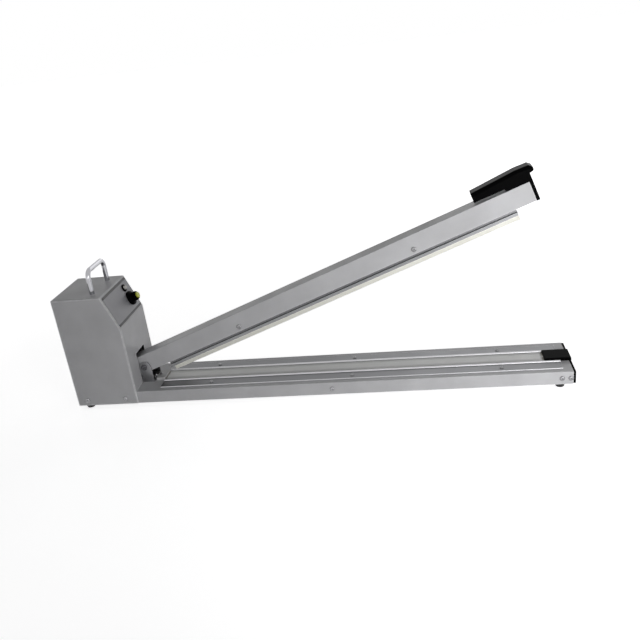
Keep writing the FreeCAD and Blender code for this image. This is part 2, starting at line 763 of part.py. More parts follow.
def make_arm():
    """Channel of the arm, open below, with its bush, spring pin and cross screws."""
    inner = "half_arm - arm_wall"
    body = extrusion("arm_channel", [
        ("-half_arm", "-arm_drop"),
        ("-half_arm", "arm_top"),
        ("half_arm", "arm_top"),
        ("half_arm", "-arm_drop"),
        (inner, "-arm_drop"),
        (inner, "arm_top - arm_wall"),
        (f"-({inner})", "arm_top - arm_wall"),
        (f"-({inner})", "-arm_drop"),
    ], "-arm_tail", "arm_tail + arm_reach", ARM)
    half, crest = size("half_arm"), size("arm_top")
    soften(body, "edge_round", lambda edge: runs_along(edge, (1, 0, 0))
           and abs(abs(edge.CenterOfMass.y) - half) < 1e-6 and abs(edge.CenterOfMass.z - crest) < 1e-6)
    across = "arm_width + cut_margin"
    cross_holes(body, [("0", "0")], "pivot_bolt + running_gap * 2", across)
    cross_holes(body, FLOAT_SPOTS, "screw_shank + screw_clear", across)
    cross_holes(body, [("-tail_pin_back", "tail_pin_rise")], "tail_pin + running_gap * 2", across)
    down_holes(body, [(x, "0") for x in GRIP_SCREWS], "small_shank + screw_clear", "arm_top", "arm_wall")
    bush = new_body("pivot_bush", ARM)
    ring = disc(new_sketch(bush, "XZ_Plane"), "0", "0", "bush_outside")
    disc(ring, "0", "0", "pivot_bolt + running_gap * 2")
    pad(bush, ring, f"({inner} - fit_gap / 2) * 2", both=True)
    pin = new_body("tail_pin", ARM)
    round_end = disc(new_sketch(pin, "XZ_Plane"), "-tail_pin_back", "tail_pin_rise", "tail_pin")
    pad(pin, round_end, "arm_width", both=True)
    cross_screw = screw("screw", "arm_width + nut_height + cut_margin")
    copies("float_screws", cross_screw,
           [dict(x=x, y="-half_arm", z=z, **FACE_FRONT) for x, z in FLOAT_SPOTS], ARM)
    nut = hex_nut("float_nut", "nut_across", "nut_height", "screw_shank + screw_clear")
    copies("float_nuts", nut, [dict(x=x, y="half_arm", z=z, **FACE_BACK) for x, z in FLOAT_SPOTS], ARM)


def make_pressure_bar():
    """Floating bar with slots for the cross screws, and the rubber strip in its groove."""
    right = [
        ("tongue_width / 2 + fit_gap", "seal_high"),
        ("bar_flange_width / 2", "seal_high"),
        ("bar_flange_width / 2", "flange_high"),
        ("bar_web / 2", "flange_high"),
        ("bar_web / 2", "bar_high - bar_top_thickness"),
        ("bar_top_width / 2", "bar_high - bar_top_thickness"),
        ("bar_top_width / 2", "bar_high"),
    ]
    groove = ("tongue_width / 2 + fit_gap", "seal_high + tongue_height + fit_gap")
    half = [groove] + right
    left = [(f"-({y})", z) for y, z in reversed(half)]
    bar = extrusion("pressure_bar", half + left, "bar_start", "bar_length", ARM)
    slots = new_sketch(bar, "XZ_Plane")
    reach = "(screw_shank + screw_clear) / 2"
    for x, z in FLOAT_SPOTS:
        box_outline(slots, f"{x} - {reach}", f"{z} - {reach} - float_travel",
                    f"{x} + {reach}", f"{z} + {reach}")
    pocket(bar, slots, "bar_web * 2", both=True)
    seal = extrusion("silicone_strip", [
        ("-seal_width / 2", "seal_low"),
        ("seal_width / 2", "seal_low"),
        ("seal_width / 2", "seal_high"),
        ("tongue_width / 2", "seal_high"),
        ("tongue_width / 2", "seal_high + tongue_height"),
        ("-tongue_width / 2", "seal_high + tongue_height"),
        ("-tongue_width / 2", "seal_high"),
        ("-seal_width / 2", "seal_high"),
    ], "seal_start", "seal_length", ARM)
    sole = size("seal_low")
    soften(seal, "edge_round", lambda edge: runs_along(edge, (1, 0, 0))
           and abs(edge.CenterOfMass.z - sole) < 1e-6)


def make_grip():
    """Moulded palm rest that hooks over the arm's end, and its screws from inside the arm."""
    body = new_body("arm_grip", ARM)
    tip = "arm_reach + grip_plate"
    tail = "arm_reach + grip_plate + grip_nose - grip_length"
    low = "arm_top + grip_lift"
    side = outline(new_sketch(body, "XZ_Plane"), [
        ("arm_reach", "-arm_drop - edge_round"),
        (tip, "-arm_drop - edge_round"),
        (tip, "arm_top + grip_high_height * 0.5"),
        (f"{tip} + grip_nose", "arm_top + grip_high_height * 0.56"),
        (f"{tip} + grip_nose", "arm_top + grip_high_height * 0.78"),
        (f"{tip} + grip_nose * 0.3", "arm_top + grip_high_height * 0.96"),
        ("arm_reach - grip_nose * 1.8", "arm_top + grip_high_height"),
        (tail, "arm_top + grip_low_height"),
        (tail, low),
        ("arm_reach - grip_foot - grip_lift / 2", low),
        ("arm_reach - grip_foot", "arm_top"),
        ("arm_reach", "arm_top"),
    ])
    pad(body, side, "arm_width", both=True)
    half, shoulder = size("half_arm"), size("arm_top") + size("grip_low_height") * 0.9
    soften(body, "grip_crown_round", lambda edge: abs(abs(edge.CenterOfMass.y) - half) < 1e-6
           and edge.BoundBox.ZMin > shoulder)
    nose = size("arm_reach") + size("grip_plate") * 1.2
    chin = size("arm_top") + size("grip_high_height") * 0.6
    soften(body, "grip_nose_round", lambda edge: runs_along(edge, (0, 1, 0)) and edge.CenterOfMass.x > nose
           and edge.CenterOfMass.z < chin)
    foot = -size("arm_drop") - size("edge_round")
    soften(body, "grip_nose_round", lambda edge: runs_along(edge, (1, 0, 0))
           and abs(edge.CenterOfMass.z - foot) < 1e-6)
    depth = "grip_lift"
    sketch = new_sketch(body, "XY_Plane", "arm_top + grip_lift")
    for x in GRIP_SCREWS:
        disc(sketch, x, "0", "small_shank + screw_clear")
    pocket(body, sketch, depth)
    length = f"arm_wall + {depth} - fit_gap"
    copies("grip_screws", screw("small", length),
           [dict(x=x, z="arm_top - arm_wall", **FACE_DOWN) for x in GRIP_SCREWS], ARM)


# Housing, its panel and its handle
def make_housing():
    """Folded sheet box, open below, with the arm's slot and the holes for what it carries."""
    body = new_body("housing_cover")
    shell = outline(new_sketch(body, "XZ_Plane"), [
        ("rear_x", "foot_height"),
        ("rear_x", "top_z"),
        ("slant_x", "top_z"),
        ("front_x", "slant_low_z"),
        ("front_x", "foot_height"),
    ])
    pad(body, shell, "half_shell * 2", both=True)
    low = size("foot_height")
    soften(body, "bend_radius", lambda edge: edge.BoundBox.ZMax > low + 1e-6)
    inner_bend = "slant_low_z - sheet_thickness * cos(slant_tilt) / (1 + sin(slant_tilt))"
    hollow = outline(new_sketch(body, "XZ_Plane"), [
        ("rear_x + sheet_thickness", "foot_height - cut_margin"),
        ("rear_x + sheet_thickness", "top_z - sheet_thickness"),
        ("slant_x - sheet_thickness * tan(slant_tilt / 2)", "top_z - sheet_thickness"),
        ("front_x - sheet_thickness", inner_bend),
        ("front_x - sheet_thickness", "foot_height - cut_margin"),
    ])
    pocket(body, hollow, "(half_shell - sheet_thickness) * 2", both=True)
    wide, slot = "half_base + fit_gap", "half_clevis + slot_side_gap"
    over, crown = "deck_z + fit_gap", "pivot_z + arm_top + slot_top_gap"
    mouth = outline(new_sketch(body, "YZ_Plane", "front_x + cut_margin"), [
        (f"-({wide})", "foot_height - cut_margin"),
        (wide, "foot_height - cut_margin"),
        (wide, over),
        (slot, over),
        (slot, crown),
        (f"-({slot})", crown),
        (f"-({slot})", over),
        (f"-({wide})", over),
    ])
    pocket(body, mouth, "sheet_thickness + cut_margin * 2")
    spots = [(x, "screw_z") for x in HOUSING_SCREWS]
    cross_holes(body, spots, "screw_shank + screw_clear", "half_shell * 2 + cut_margin")
    gland = new_sketch(body, "YZ_Plane", "rear_x + sheet_thickness + cut_margin")
    disc(gland, "0", "deck_z + gland_rise", "gland_neck + fit_gap * 2")
    pocket(body, gland, "sheet_thickness + cut_margin * 2")
    face = new_sketch(body, "XY_Plane", tilt=True)
    disc(face, "knob_down", "knob_side", "bushing_width + fit_gap * 2")
    disc(face, "lamp_down", "knob_side", "lamp_width + fit_gap * 2")
    pocket(body, face, "sheet_thickness * 2")
    feet = [("handle_x", "-handle_span / 2"), ("handle_x", "handle_span / 2")]
    down_holes(body, feet, "screw_shank + screw_clear", "top_z", "sheet_thickness * 2")


def make_panel():
    """Thin face plate on the slant, with the lamp, the knob and what turns behind it."""
    plate = new_body("control_panel", PANEL)
    pad(plate, box_outline(new_sketch(plate, "XY_Plane"), "panel_end_margin", "-panel_width / 2",
                           "panel_end_margin + panel_length", "panel_width / 2"), "panel_thickness")
    soften(plate, "panel_corner", lambda edge: runs_along(edge, (0, 0, 1)))
    thick = "panel_thickness"
    for down, width in (("knob_down", "bushing_width"), ("lamp_down", "lamp_width")):
        down_holes(plate, [(down, "knob_side")], f"{width} + fit_gap * 2", thick, thick)
    bezel = new_body("lamp_bezel", LAMP)
    inside = "lamp_width / 2 - cut_margin"
    turned(bezel, [
        (inside, "-lamp_depth"),
        ("lamp_width / 2", "-lamp_depth"),
        ("lamp_width / 2", "panel_thickness"),
        ("lamp_bezel / 2", "panel_thickness"),
        ("lamp_bezel / 2 - lamp_bezel_height * 0.4", "panel_thickness + lamp_bezel_height"),
        (inside, "panel_thickness + lamp_bezel_height"),
    ])
    lens = new_body("lamp_lens", LAMP)
    rim = f"{inside} - fit_gap"
    crown = "panel_thickness + lamp_bezel_height"
    turned(lens, [
        ("0", "-lamp_depth"),
        (rim, "-lamp_depth"),
        (rim, f"{crown} + lamp_dome * 0.35"),
        (f"({rim}) * 0.75", f"{crown} + lamp_dome * 0.8"),
        (f"({rim}) * 0.4", f"{crown} + lamp_dome"),
        ("0", f"{crown} + lamp_dome"),
    ])


def make_timer():
    """Knob with its cap and shaft, the potentiometer that they turn, its nut and the timer's board."""
    knob = new_body("timer_knob", KNOB)
    bore = "shaft_width / 2 + running_gap"
    nut_room = "pot_nut_across / 2 / cos(30) + fit_gap * 3"
    roof = "panel_thickness + pot_nut_height + knob_lift"
    top = "knob_low + knob_height"
    seat = "cap_width / 2 + running_gap"
    turned(knob, [
        (nut_room, "knob_low"),
        ("knob_skirt / 2", "knob_low"),
        ("knob_skirt / 2 - knob_lift", "knob_low + knob_skirt_height"),
        ("knob_grip / 2", "knob_low + knob_skirt_height * 1.6"),
        ("knob_grip / 2 - knob_lift", f"{top} - knob_lift"),
        ("knob_grip / 2 - knob_lift * 2", top),
        (seat, top),
        (seat, f"{top} - cap_seat"),
        (bore, f"{top} - cap_seat"),
        (bore, roof),
        (nut_room, roof),
    ])
    flute = disc(new_sketch(knob, "XY_Plane", top), "knob_grip / 2 + flute_width * 0.2", "0", "flute_width")
    cut = pocket(knob, flute, "knob_height - knob_skirt_height * 1.8")
    ring = knob.newObject("PartDesign::PolarPattern", "flutes")
    ring.Originals = [cut]
    ring.Axis = (flute, ["N_Axis"])
    ring.Angle = 360
    ring.Occurrences = 12
    knob.Tip = ring
    cap = new_body("knob_cap", KNOB)
    base = f"{top} - cap_seat"
    turned(cap, [
        ("0", base),
        ("cap_width / 2", base),
        ("cap_width / 2", f"{base} + cap_height * 0.75"),
        ("cap_width * 0.38", f"{base} + cap_height"),
        ("0", f"{base} + cap_height"),
    ])
    shaft = new_body("timer_shaft", KNOB)
    foot = "-sheet_thickness - pot_depth * 0.6"
    turned(shaft, [("0", foot), ("shaft_width / 2", foot), ("shaft_width / 2", base), ("0", base)])
    pot = new_body("potentiometer", KNOB)
    crest = "panel_thickness + pot_nut_height"
    turned(pot, [
        ("0", "-sheet_thickness - pot_depth"),
        ("pot_width / 2", "-sheet_thickness - pot_depth"),
        ("pot_width / 2", "-sheet_thickness"),
        ("bushing_width / 2", "-sheet_thickness"),
        ("bushing_width / 2", crest),
        (bore, crest),
        (bore, f"{foot} - fit_gap"),
        ("0", f"{foot} - fit_gap"),
    ])
    hex_nut("timer_nut", "pot_nut_across", "pot_nut_height", "bushing_width + running_gap * 2",
            dict(x="knob_x + panel_thickness * sin(slant_tilt)", y="knob_side",
                 z="knob_z + panel_thickness * cos(slant_tilt)", axis=(0, 1, 0), angle="slant_tilt"))
    board = new_body("timer_board", KNOB)
    back = "-sheet_thickness - pot_depth - circuit_thickness"
    low_y, high_y = "pot_width - board_span", "pot_width"
    pad(board, box_outline(new_sketch(board, "XY_Plane", back), "-board_length / 2", low_y,
                           "board_length / 2", high_y), "circuit_thickness")
    chips = new_sketch(board, "XY_Plane", f"{back} - pot_depth")
    box_outline(chips, "-board_length * 0.4", f"{low_y} + 4", "0", f"{low_y} + 22")
    box_outline(chips, "board_length * 0.1", f"{low_y} + 6", "board_length * 0.4", f"{low_y} + 12")
    disc(chips, "board_length * 0.25", f"{low_y} + 28", "pot_depth")
    disc(chips, "-board_length * 0.2", f"{low_y} + 34", "pot_depth * 1.2")
    pad(board, chips, "pot_depth")


def make_handle():
    """Bow of round bar on the housing's top, drilled in both legs for its screws."""
    span, straight = "handle_span / 2", "handle_height - handle_rod / 2 - handle_bend"
    pieces = []
    for side in ("-", ""):
        leg = doc.addObject("Part::Cylinder", "leg")
        bind(leg, "Radius", "handle_rod / 2")
        bind(leg, "Height", straight)
        place(leg, y=f"{side}{span}")
        bend = doc.addObject("Part::Torus", "bend")
        bind(bend, "Radius1", "handle_bend")
        bind(bend, "Radius2", "handle_rod / 2")
        bend.Angle3 = 90
        turn = FreeCAD.Rotation(Vector(0, 1, 0), Vector(0, 0, 1), Vector(1, 0, 0), "ZXY")
        if side:
            turn = FreeCAD.Rotation(Vector(0, 0, 1), Vector(0, -1, 0), Vector(1, 0, 0), "ZXY")
        bend.Placement = FreeCAD.Placement(Vector(0, 0, 0), turn)
        bind(bend, "Placement.Base.y", f"{side}({span} - handle_bend)")
        bind(bend, "Placement.Base.z", straight)
        pieces += [leg, bend]
    bar = doc.addObject("Part::Cylinder", "bar")
    bind(bar, "Radius", "handle_rod / 2")
    bind(bar, "Height", f"({span} - handle_bend) * 2")
    place(bar, y=f"{span} - handle_bend", z=f"{straight} + handle_bend", axis=(1, 0, 0), angle="90")
    bow = doc.addObject("Part::MultiFuse", "bow")
    bow.Shapes = pieces + [bar]
    holes = []
    for side in ("-", ""):
        hole = doc.addObject("Part::Cylinder", "hole")
        bind(hole, "Radius", "(screw_shank + screw_clear) / 2")
        bind(hole, "Height", "handle_rod * 1.5")
        place(hole, y=f"{side}{span}")
        holes.append(hole)
    tools = doc.addObject("Part::Compound", "handle_holes")
    tools.Links = holes
    handle = doc.addObject("Part::Cut", "handle")
    handle.Base = bow
    handle.Tool = tools
    place(handle, x="handle_x", z="top_z")
    keep(handle, "carry_handle")
    under = "top_z - sheet_thickness"
    copies("handle_screws", screw("screw", "sheet_thickness + handle_rod * 1.4"),
           [dict(x="handle_x", y=f"{side}{span}", z=under, **FACE_DOWN) for side in ("-", "")])


# What the housing hides
def make_transformer():
    """Laminated core with two windows, its coil, and the strap that holds it to the deck."""
    core = new_body("transformer_core")
    face = new_sketch(core, "YZ_Plane", "core_x")
    high = "deck_z + core_height"
    box_outline(face, "-core_width / 2", "deck_z", "core_width / 2", high)
    window = "core_width / 2 - core_leg"
    low_z, high_z = "deck_z + core_leg", f"{high} - core_leg"
    box_outline(face, "core_leg", low_z, window, high_z)
    box_outline(face, f"-({window})", low_z, "-core_leg", high_z)
    pad(core, face, "core_stack")
    coil = new_body("transformer_coil")
    section = new_sketch(coil, "XY_Plane", f"{low_z} + coil_gap")
    box_outline(section, "core_x - coil_bulge", f"coil_gap - ({window})",
                "core_x + core_stack + coil_bulge", f"{window} - coil_gap")
    box_outline(section, "core_x - coil_gap", "-core_leg - coil_gap",
                "core_x + core_stack + coil_gap", "core_leg + coil_gap")
    pad(coil, section, "core_height - core_leg * 2 - coil_gap * 2")
    outer = size("core_stack") / 2
    middle = size("core_x") + outer
    soften(coil, "coil_bulge * 0.6", lambda edge: runs_along(edge, (0, 0, 1))
           and abs(edge.CenterOfMass.x - middle) > outer + 1)
    wall, rise = "core_width / 2 + running_gap", f"{high} + running_gap"
    half = [
        (f"{wall} + strap_thickness + strap_foot", "deck_z"),
        (f"{wall} + strap_thickness + strap_foot", "deck_z + strap_thickness"),
        (f"{wall} + strap_thickness", "deck_z + strap_thickness"),
        (f"{wall} + strap_thickness", f"{rise} + strap_thickness"),
    ]
    inner = [(wall, rise), (wall, "deck_z")]
    mirrored = [(f"-({y})", z) for y, z in reversed(half)]
    inner_mirrored = [(f"-({y})", z) for y, z in reversed(inner)]
    strap = extrusion("transformer_strap", half + mirrored + inner_mirrored + inner,
                      "core_x + core_stack / 2 - strap_length / 2", "strap_length")
    foot_top = "deck_z + strap_thickness"
    down_holes(strap, STRAP_SCREWS, "screw_shank + screw_clear", foot_top, "strap_thickness")
    copies("strap_screws", screw("screw", "strap_thickness + deck_thickness * 1.5"),
           [dict(x=x, y=y, z="deck_z + strap_thickness") for x, y in STRAP_SCREWS])


def make_switch():
    """Small switch over the arm's tail, its bracket and the plunger that the tail lifts."""
    bracket = new_body("switch_bracket")
    low_x, high_x = "front_x - switch_back - switch_length", "front_x - switch_back"
    high = "switch_z + switch_height"
    pad(bracket, outline(new_sketch(bracket, "YZ_Plane", low_x), [
        ("bracket_y", "deck_z"),
        ("bracket_y + bracket_foot", "deck_z"),
        ("bracket_y + bracket_foot", "deck_z + bracket_thickness"),
        ("bracket_y + bracket_thickness", "deck_z + bracket_thickness"),
        ("bracket_y + bracket_thickness", high),
        ("bracket_y", high),
    ]), "switch_length")
    foot_top = "deck_z + bracket_thickness"
    down_holes(bracket, [BRACKET_SCREW], "screw_shank + screw_clear", foot_top, "bracket_thickness")
    middle = "bracket_y - switch_width / 2"
    body = new_body("switch_body")
    pad(body, box_outline(new_sketch(body, "YZ_Plane", low_x), "bracket_y - switch_width", "switch_z",
                          "bracket_y", high), "switch_length")
    soften(body, "edge_round / 2", lambda edge: runs_along(edge, (0, 1, 0)))
    guide = disc(new_sketch(body, "XY_Plane", "switch_z + plunger_travel + plunger_out"), "plunger_x", middle,
                 "plunger_width + running_gap * 2")
    pocket(body, guide, "plunger_travel + plunger_out")
    plunger = new_body("switch_plunger", {"x": "plunger_x", "y": middle, "z": "plunger_z"})
    turned(plunger, [
        ("0", "0"),
        ("plunger_width * 0.3", "0"),
        ("plunger_width / 2", "plunger_width * 0.2"),
        ("plunger_width / 2", "plunger_out * 2 - fit_gap"),
        ("0", "plunger_out * 2 - fit_gap"),
    ])
    copies("bracket_screw", screw("screw", "bracket_thickness + deck_thickness * 1.5"),
           [dict(x=BRACKET_SCREW[0], y=BRACKET_SCREW[1], z="deck_z + bracket_thickness")])


def make_gland():
    """Rubber ring in the rear wall where the supply lead goes in."""
    gland = new_body("cable_gland", dict(x="rear_x", z="deck_z + gland_rise", axis=(0, 1, 0), angle="-90"))
    inner = "-sheet_thickness - fit_gap"
    turned(gland, [
        ("gland_bore / 2", f"{inner} - gland_flange * 0.8"),
        ("gland_outside / 2", f"{inner} - gland_flange * 0.8"),
        ("gland_outside / 2", inner),
        ("gland_neck / 2", inner),
        ("gland_neck / 2", "0"),
        ("gland_outside / 2", "0"),
        ("gland_outside / 2 - gland_flange * 0.4", "gland_flange"),
        ("gland_bore / 2", "gland_flange"),
    ])


# Springs
def coil_path(radius, pitch, turns, low, lead_in, lead_out):
    """Half-turn arcs that climb along Z, with a straight lead at each end; the points run with the wire."""
    points = []
    steps = int(turns * 4)
    for i in range(steps + 1):
        angle = math.pi / 2 * i
        points.append(Vector(radius * math.cos(angle), radius * math.sin(angle), low + pitch * i / 4))
    edges = [Part.Arc(points[i], middle_of(points[i], points[i + 1], radius), points[i + 1]).toShape()
             for i in range(steps)]
    first = points[0] - Vector(0, lead_in, 0)
    last = points[-1] + Vector(0, lead_out, 0)
    edges.insert(0, Part.LineSegment(first, points[0]).toShape())
    edges.append(Part.LineSegment(points[-1], last).toShape())
    return edges, points


def middle_of(start, end, radius):
    """Point of the coil half-way between two points a quarter turn apart."""
    half = (start + end) * 0.5
    flat = Vector(half.x, half.y, 0).normalize() * radius
    return Vector(flat.x, flat.y, half.z)


def coil_spring(outside, wire, turns, low, high):
    """Round wire wound about Z between two levels, ends square to the axis."""
    radius = (outside - wire) / 2
    rise = (high - low - wire) / turns
    edges, points = coil_path(radius, rise, turns, low + wire / 2, wire, wire)
    path = Part.Wire(edges)
    start = edges[0].Vertexes[0].Point
    ring = Part.Wire(Part.Circle(start, Vector(0, 1, 0), wire / 2).toShape())
    solid = path.makePipeShell([ring], True, False)
    return solid, rise - wire


def make_springs():
    """Springs over the floating bar, and the tension spring between the tail pin and the anchor pin."""
    anchor = new_body("spring_anchor_pin")
    end_face = disc(new_sketch(anchor, "XZ_Plane"), "tail_x", "anchor_z", "anchor_pin")
    pad(anchor, end_face, "anchor_length", both=True)
    low = size("bar_high") + size("spring_seat_gap")
    high = size("arm_top") - size("arm_wall") - size("spring_seat_gap")
    pivot = Vector(size("pivot_x"), 0, size("pivot_z"))
    tilt = FreeCAD.Rotation(Vector(0, -1, 0), size("arm_open_angle"))
    for end in ("near", "far"):
        spring, gap = coil_spring(size("float_spring_outside"), size("float_spring_wire"), 5, low, high)
        piece = doc.addObject("Part::Feature", f"float_spring_{end}")
        piece.Shape = spring
        along = Vector(size(f"float_screw_{end}"), 0, 0)
        piece.Placement = FreeCAD.Placement(pivot + tilt.multVec(along), tilt)
        keep(piece, f"float_spring_{end}")
    print("float spring gap", round(gap, 2))
    pull = doc.addObject("Part::Feature", "return_spring")
    bottom = size("anchor_z") + size("anchor_pin") / 2 + size("spring_seat_gap")
    top = size("tail_z") - size("tail_pin") / 2 - size("spring_seat_gap")
    turns = int(size("spring_turns"))
    spring, gap = coil_spring(size("spring_outside"), size("spring_wire"), turns, bottom, top)
    print("return spring gap", round(gap, 2))
    pull.Shape = spring
    pull.Placement = FreeCAD.Placement(Vector(size("tail_x"), 0, 0), FreeCAD.Rotation())
    keep(pull, "return_spring")


def write_parts():
    """Check every object and every finished solid, then write one file for each sub-part."""
    doc.recompute()
    for thing in doc.Objects:
        if "Invalid" in thing.State or "Error" in thing.State:
            raise ValueError(f"{thing.Label} did not build: {thing.State}")
    for thing in sub_parts:
        if thing.Shape.isNull() or not thing.Shape.isValid() or not thing.Shape.Solids:
            raise ValueError(f"{thing.Label} is not a sound solid")
    os.makedirs("parts", exist_ok=True)
    for thing in sub_parts:
        thing.Shape.exportStep(f"parts/{thing.Label}.step")


make_base_channel()
make_cross_brace()
make_end_cap()
make_feet()
make_base_screws()
make_bed()
make_terminal()
make_hinge()
make_arm()
make_pressure_bar()
make_grip()
make_housing()
make_panel()
make_timer()
make_handle()
make_transformer()
make_switch()
make_gland()
make_springs()
write_parts()
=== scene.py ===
import json
import math

import bpy
import numpy as np
from mathutils import Matrix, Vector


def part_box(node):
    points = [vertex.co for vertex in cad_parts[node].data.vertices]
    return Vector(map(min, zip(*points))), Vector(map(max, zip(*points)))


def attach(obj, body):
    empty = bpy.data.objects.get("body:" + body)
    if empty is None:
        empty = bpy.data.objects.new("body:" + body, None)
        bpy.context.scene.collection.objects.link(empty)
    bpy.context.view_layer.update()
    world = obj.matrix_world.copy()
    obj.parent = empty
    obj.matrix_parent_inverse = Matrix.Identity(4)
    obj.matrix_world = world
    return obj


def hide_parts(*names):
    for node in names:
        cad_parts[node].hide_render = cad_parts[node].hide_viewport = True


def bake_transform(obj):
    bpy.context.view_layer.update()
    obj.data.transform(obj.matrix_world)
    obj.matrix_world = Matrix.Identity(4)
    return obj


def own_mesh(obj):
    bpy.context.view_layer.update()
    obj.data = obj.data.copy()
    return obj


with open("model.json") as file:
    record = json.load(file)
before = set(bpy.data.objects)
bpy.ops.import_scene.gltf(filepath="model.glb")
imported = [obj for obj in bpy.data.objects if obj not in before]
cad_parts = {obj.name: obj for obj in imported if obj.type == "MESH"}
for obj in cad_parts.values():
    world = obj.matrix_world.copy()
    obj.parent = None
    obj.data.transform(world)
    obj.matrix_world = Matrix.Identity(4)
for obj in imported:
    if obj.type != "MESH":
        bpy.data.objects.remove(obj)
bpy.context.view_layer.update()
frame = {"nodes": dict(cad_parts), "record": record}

nodes = frame["nodes"]

# Places shared with the solid model, in metres
REAR_X = -0.39875
END_X = REAR_X + 0.8
FRONT_X = REAR_X + 0.105
PIVOT = np.array([FRONT_X + 0.0082, 0.0, 0.0542])
ARM_TILT = math.radians(20.8)
BOX_TOP = 0.1955
BOX_HALF = 0.0518
BASE_HALF = 0.0505
ARM_HALF = 0.015
SLANT_TOP = np.array([REAR_X + 0.083, 0.0, BOX_TOP])
SLANT_TILT = math.atan2(0.0555, 0.022)
DOWN_SLANT = np.array([math.cos(SLANT_TILT), 0.0, -math.sin(SLANT_TILT)])
OUT_OF_PANEL = np.array([math.sin(SLANT_TILT), 0.0, math.cos(SLANT_TILT)])
ACROSS = np.array([0.0, 1.0, 0.0])
KNOB_DOWN = 0.036
KNOB_ACROSS = 0.027
KNOB_CENTRE = SLANT_TOP + DOWN_SLANT * KNOB_DOWN + ACROSS * KNOB_ACROSS
PANEL_MIDDLE = 0.02985
ALONG_ARM = np.array([math.cos(ARM_TILT), 0.0, math.sin(ARM_TILT)])
UP_FROM_ARM = np.array([-math.sin(ARM_TILT), 0.0, math.cos(ARM_TILT)])
BAR_SCREWS = {"near": 0.1835, "far": 0.488}
SIDE_SCREW_HEIGHT = 0.016

# Where a finish changes, in metres: painted shade under the box's skin, painted highlight above the bed's
# wings and out on its rims
SKIN = 0.0006
RIB_FROM = 0.0287
RIM_FROM = 0.0397

FULL_TURN = 2.0 * np.pi
# Near black: print on the panel, and painted shade on the box's inner faces
INK_AND_SHADE = (0.02, 0.02, 0.022, 1.0)
WHITE = (1.0, 1.0, 1.0, 1.0)


# Shader building
def add_node(tree, kind, inputs=None, **settings):
    """One shader node: settings are its properties, inputs its sockets by name or number."""
    made = tree.nodes.new(kind)
    for name, value in settings.items():
        setattr(made, name, value)
    for name, value in (inputs or {}).items():
        socket = made.inputs[name]
        if isinstance(value, bpy.types.NodeSocket):
            tree.links.new(value, socket)
        else:
            socket.default_value = value
    return made


def maths(tree, operation, first, second=0.0, third=0.0, clamp=False):
    """Result of one Math node."""
    made = add_node(tree, "ShaderNodeMath", {0: first, 1: second, 2: third}, operation=operation,
                    use_clamp=clamp)
    return made.outputs[0]


def vector_maths(tree, operation, first, second=(0.0, 0.0, 0.0), output=0):
    """Result of one Vector Math node."""
    made = add_node(tree, "ShaderNodeVectorMath", {0: first, 1: second}, operation=operation)
    return made.outputs[output]


def ramp(tree, value, low, high, to_low=0.0, to_high=1.0):
    """Value mapped from one range to another and held inside it."""
    made = add_node(tree, "ShaderNodeMapRange", {0: value, 1: low, 2: high, 3: to_low, 4: to_high})
    made.clamp = True
    return made.outputs[0]


def mix_colours(tree, share, first, second):
    """Two colours mixed by a share from 0 to 1."""
    made = add_node(tree, "ShaderNodeMix", {0: share, 6: first, 7: second}, data_type="RGBA")
    return made.outputs[2]


def object_place(tree):
    """Place on the piece, in metres in its own frame."""
    return add_node(tree, "ShaderNodeTexCoord").outputs["Object"]


def new_group(name, takes, gives):
    """Empty shader group with named sockets; returns the group and its two end nodes."""
    group = bpy.data.node_groups.new(name, "ShaderNodeTree")
    for label, kind, default in takes:
        socket = group.interface.new_socket(label, in_out="INPUT", socket_type=kind)
        if default is not None:
            socket.default_value = default
    for label, kind in gives:
        group.interface.new_socket(label, in_out="OUTPUT", socket_type=kind)
    return group, group.nodes.new("NodeGroupInput"), group.nodes.new("NodeGroupOutput")


def noise(tree, place, scale, detail=4.0, roughness=0.55):
    """Fractal noise value at a place."""
    made = add_node(tree, "ShaderNodeTexNoise", {"Vector": place, "Scale": scale, "Detail": detail,
                                                 "Roughness": roughness})
    return made.outputs["Fac"]


def make_wear_and_highlight_group():
    """Edges made bright, as rubbed wear and, with a near-white colour, as painted highlight along bends:
    how far a bevelled normal leaves the true one, broken up by noise.
    """
    group, ends, out = new_group(
        "rubbed_and_highlit_edges",
        [("Place", "NodeSocketVector", None), ("Reach", "NodeSocketFloat", 0.0012),
         ("Amount", "NodeSocketFloat", 0.5), ("Full", "NodeSocketFloat", 0.86)],
        [("Mask", "NodeSocketFloat")])
    bevel = add_node(group, "ShaderNodeBevel", {"Radius": ends.outputs["Reach"]}, samples=6)
    normal = add_node(group, "ShaderNodeNewGeometry").outputs["Normal"]
    along = vector_maths(group, "DOT_PRODUCT", bevel.outputs[0], normal, output=1)
    edge = ramp(group, along, 0.997, ends.outputs["Full"])
    broken = ramp(group, noise(group, ends.outputs["Place"], 140.0, 5.0), 0.38, 0.62)
    spread = maths(group, "MULTIPLY_ADD", broken, 0.45, 0.55)
    worn_and_highlit = maths(group, "MULTIPLY", edge, spread)
    group.links.new(maths(group, "MULTIPLY", worn_and_highlit, ends.outputs["Amount"], clamp=True), out.inputs["Mask"])
    return group


def make_grime_group():
    """Soft smudges and dust: two sizes of noise, from 0 for clean to 1."""
    group, ends, out = new_group("smudges", [("Place", "NodeSocketVector", None)],
                                 [("Broad", "NodeSocketFloat"), ("Fine", "NodeSocketFloat")])
    place = ends.outputs["Place"]
    group.links.new(ramp(group, noise(group, place, 22.0, 6.0), 0.35, 0.75), out.inputs["Broad"])
    group.links.new(ramp(group, noise(group, place, 420.0, 3.0), 0.3, 0.7), out.inputs["Fine"])
    return group


EDGE_WEAR_AND_HIGHLIGHT = make_wear_and_highlight_group()
GRIME = make_grime_group()


def start_material(name):
    """New node material with its Principled shader and the place on the piece."""
    material = bpy.data.materials.new(name)
    material.use_nodes = True
    tree = material.node_tree
    shader = next(node for node in tree.nodes if node.type == "BSDF_PRINCIPLED")
    return material, tree, shader, object_place(tree)


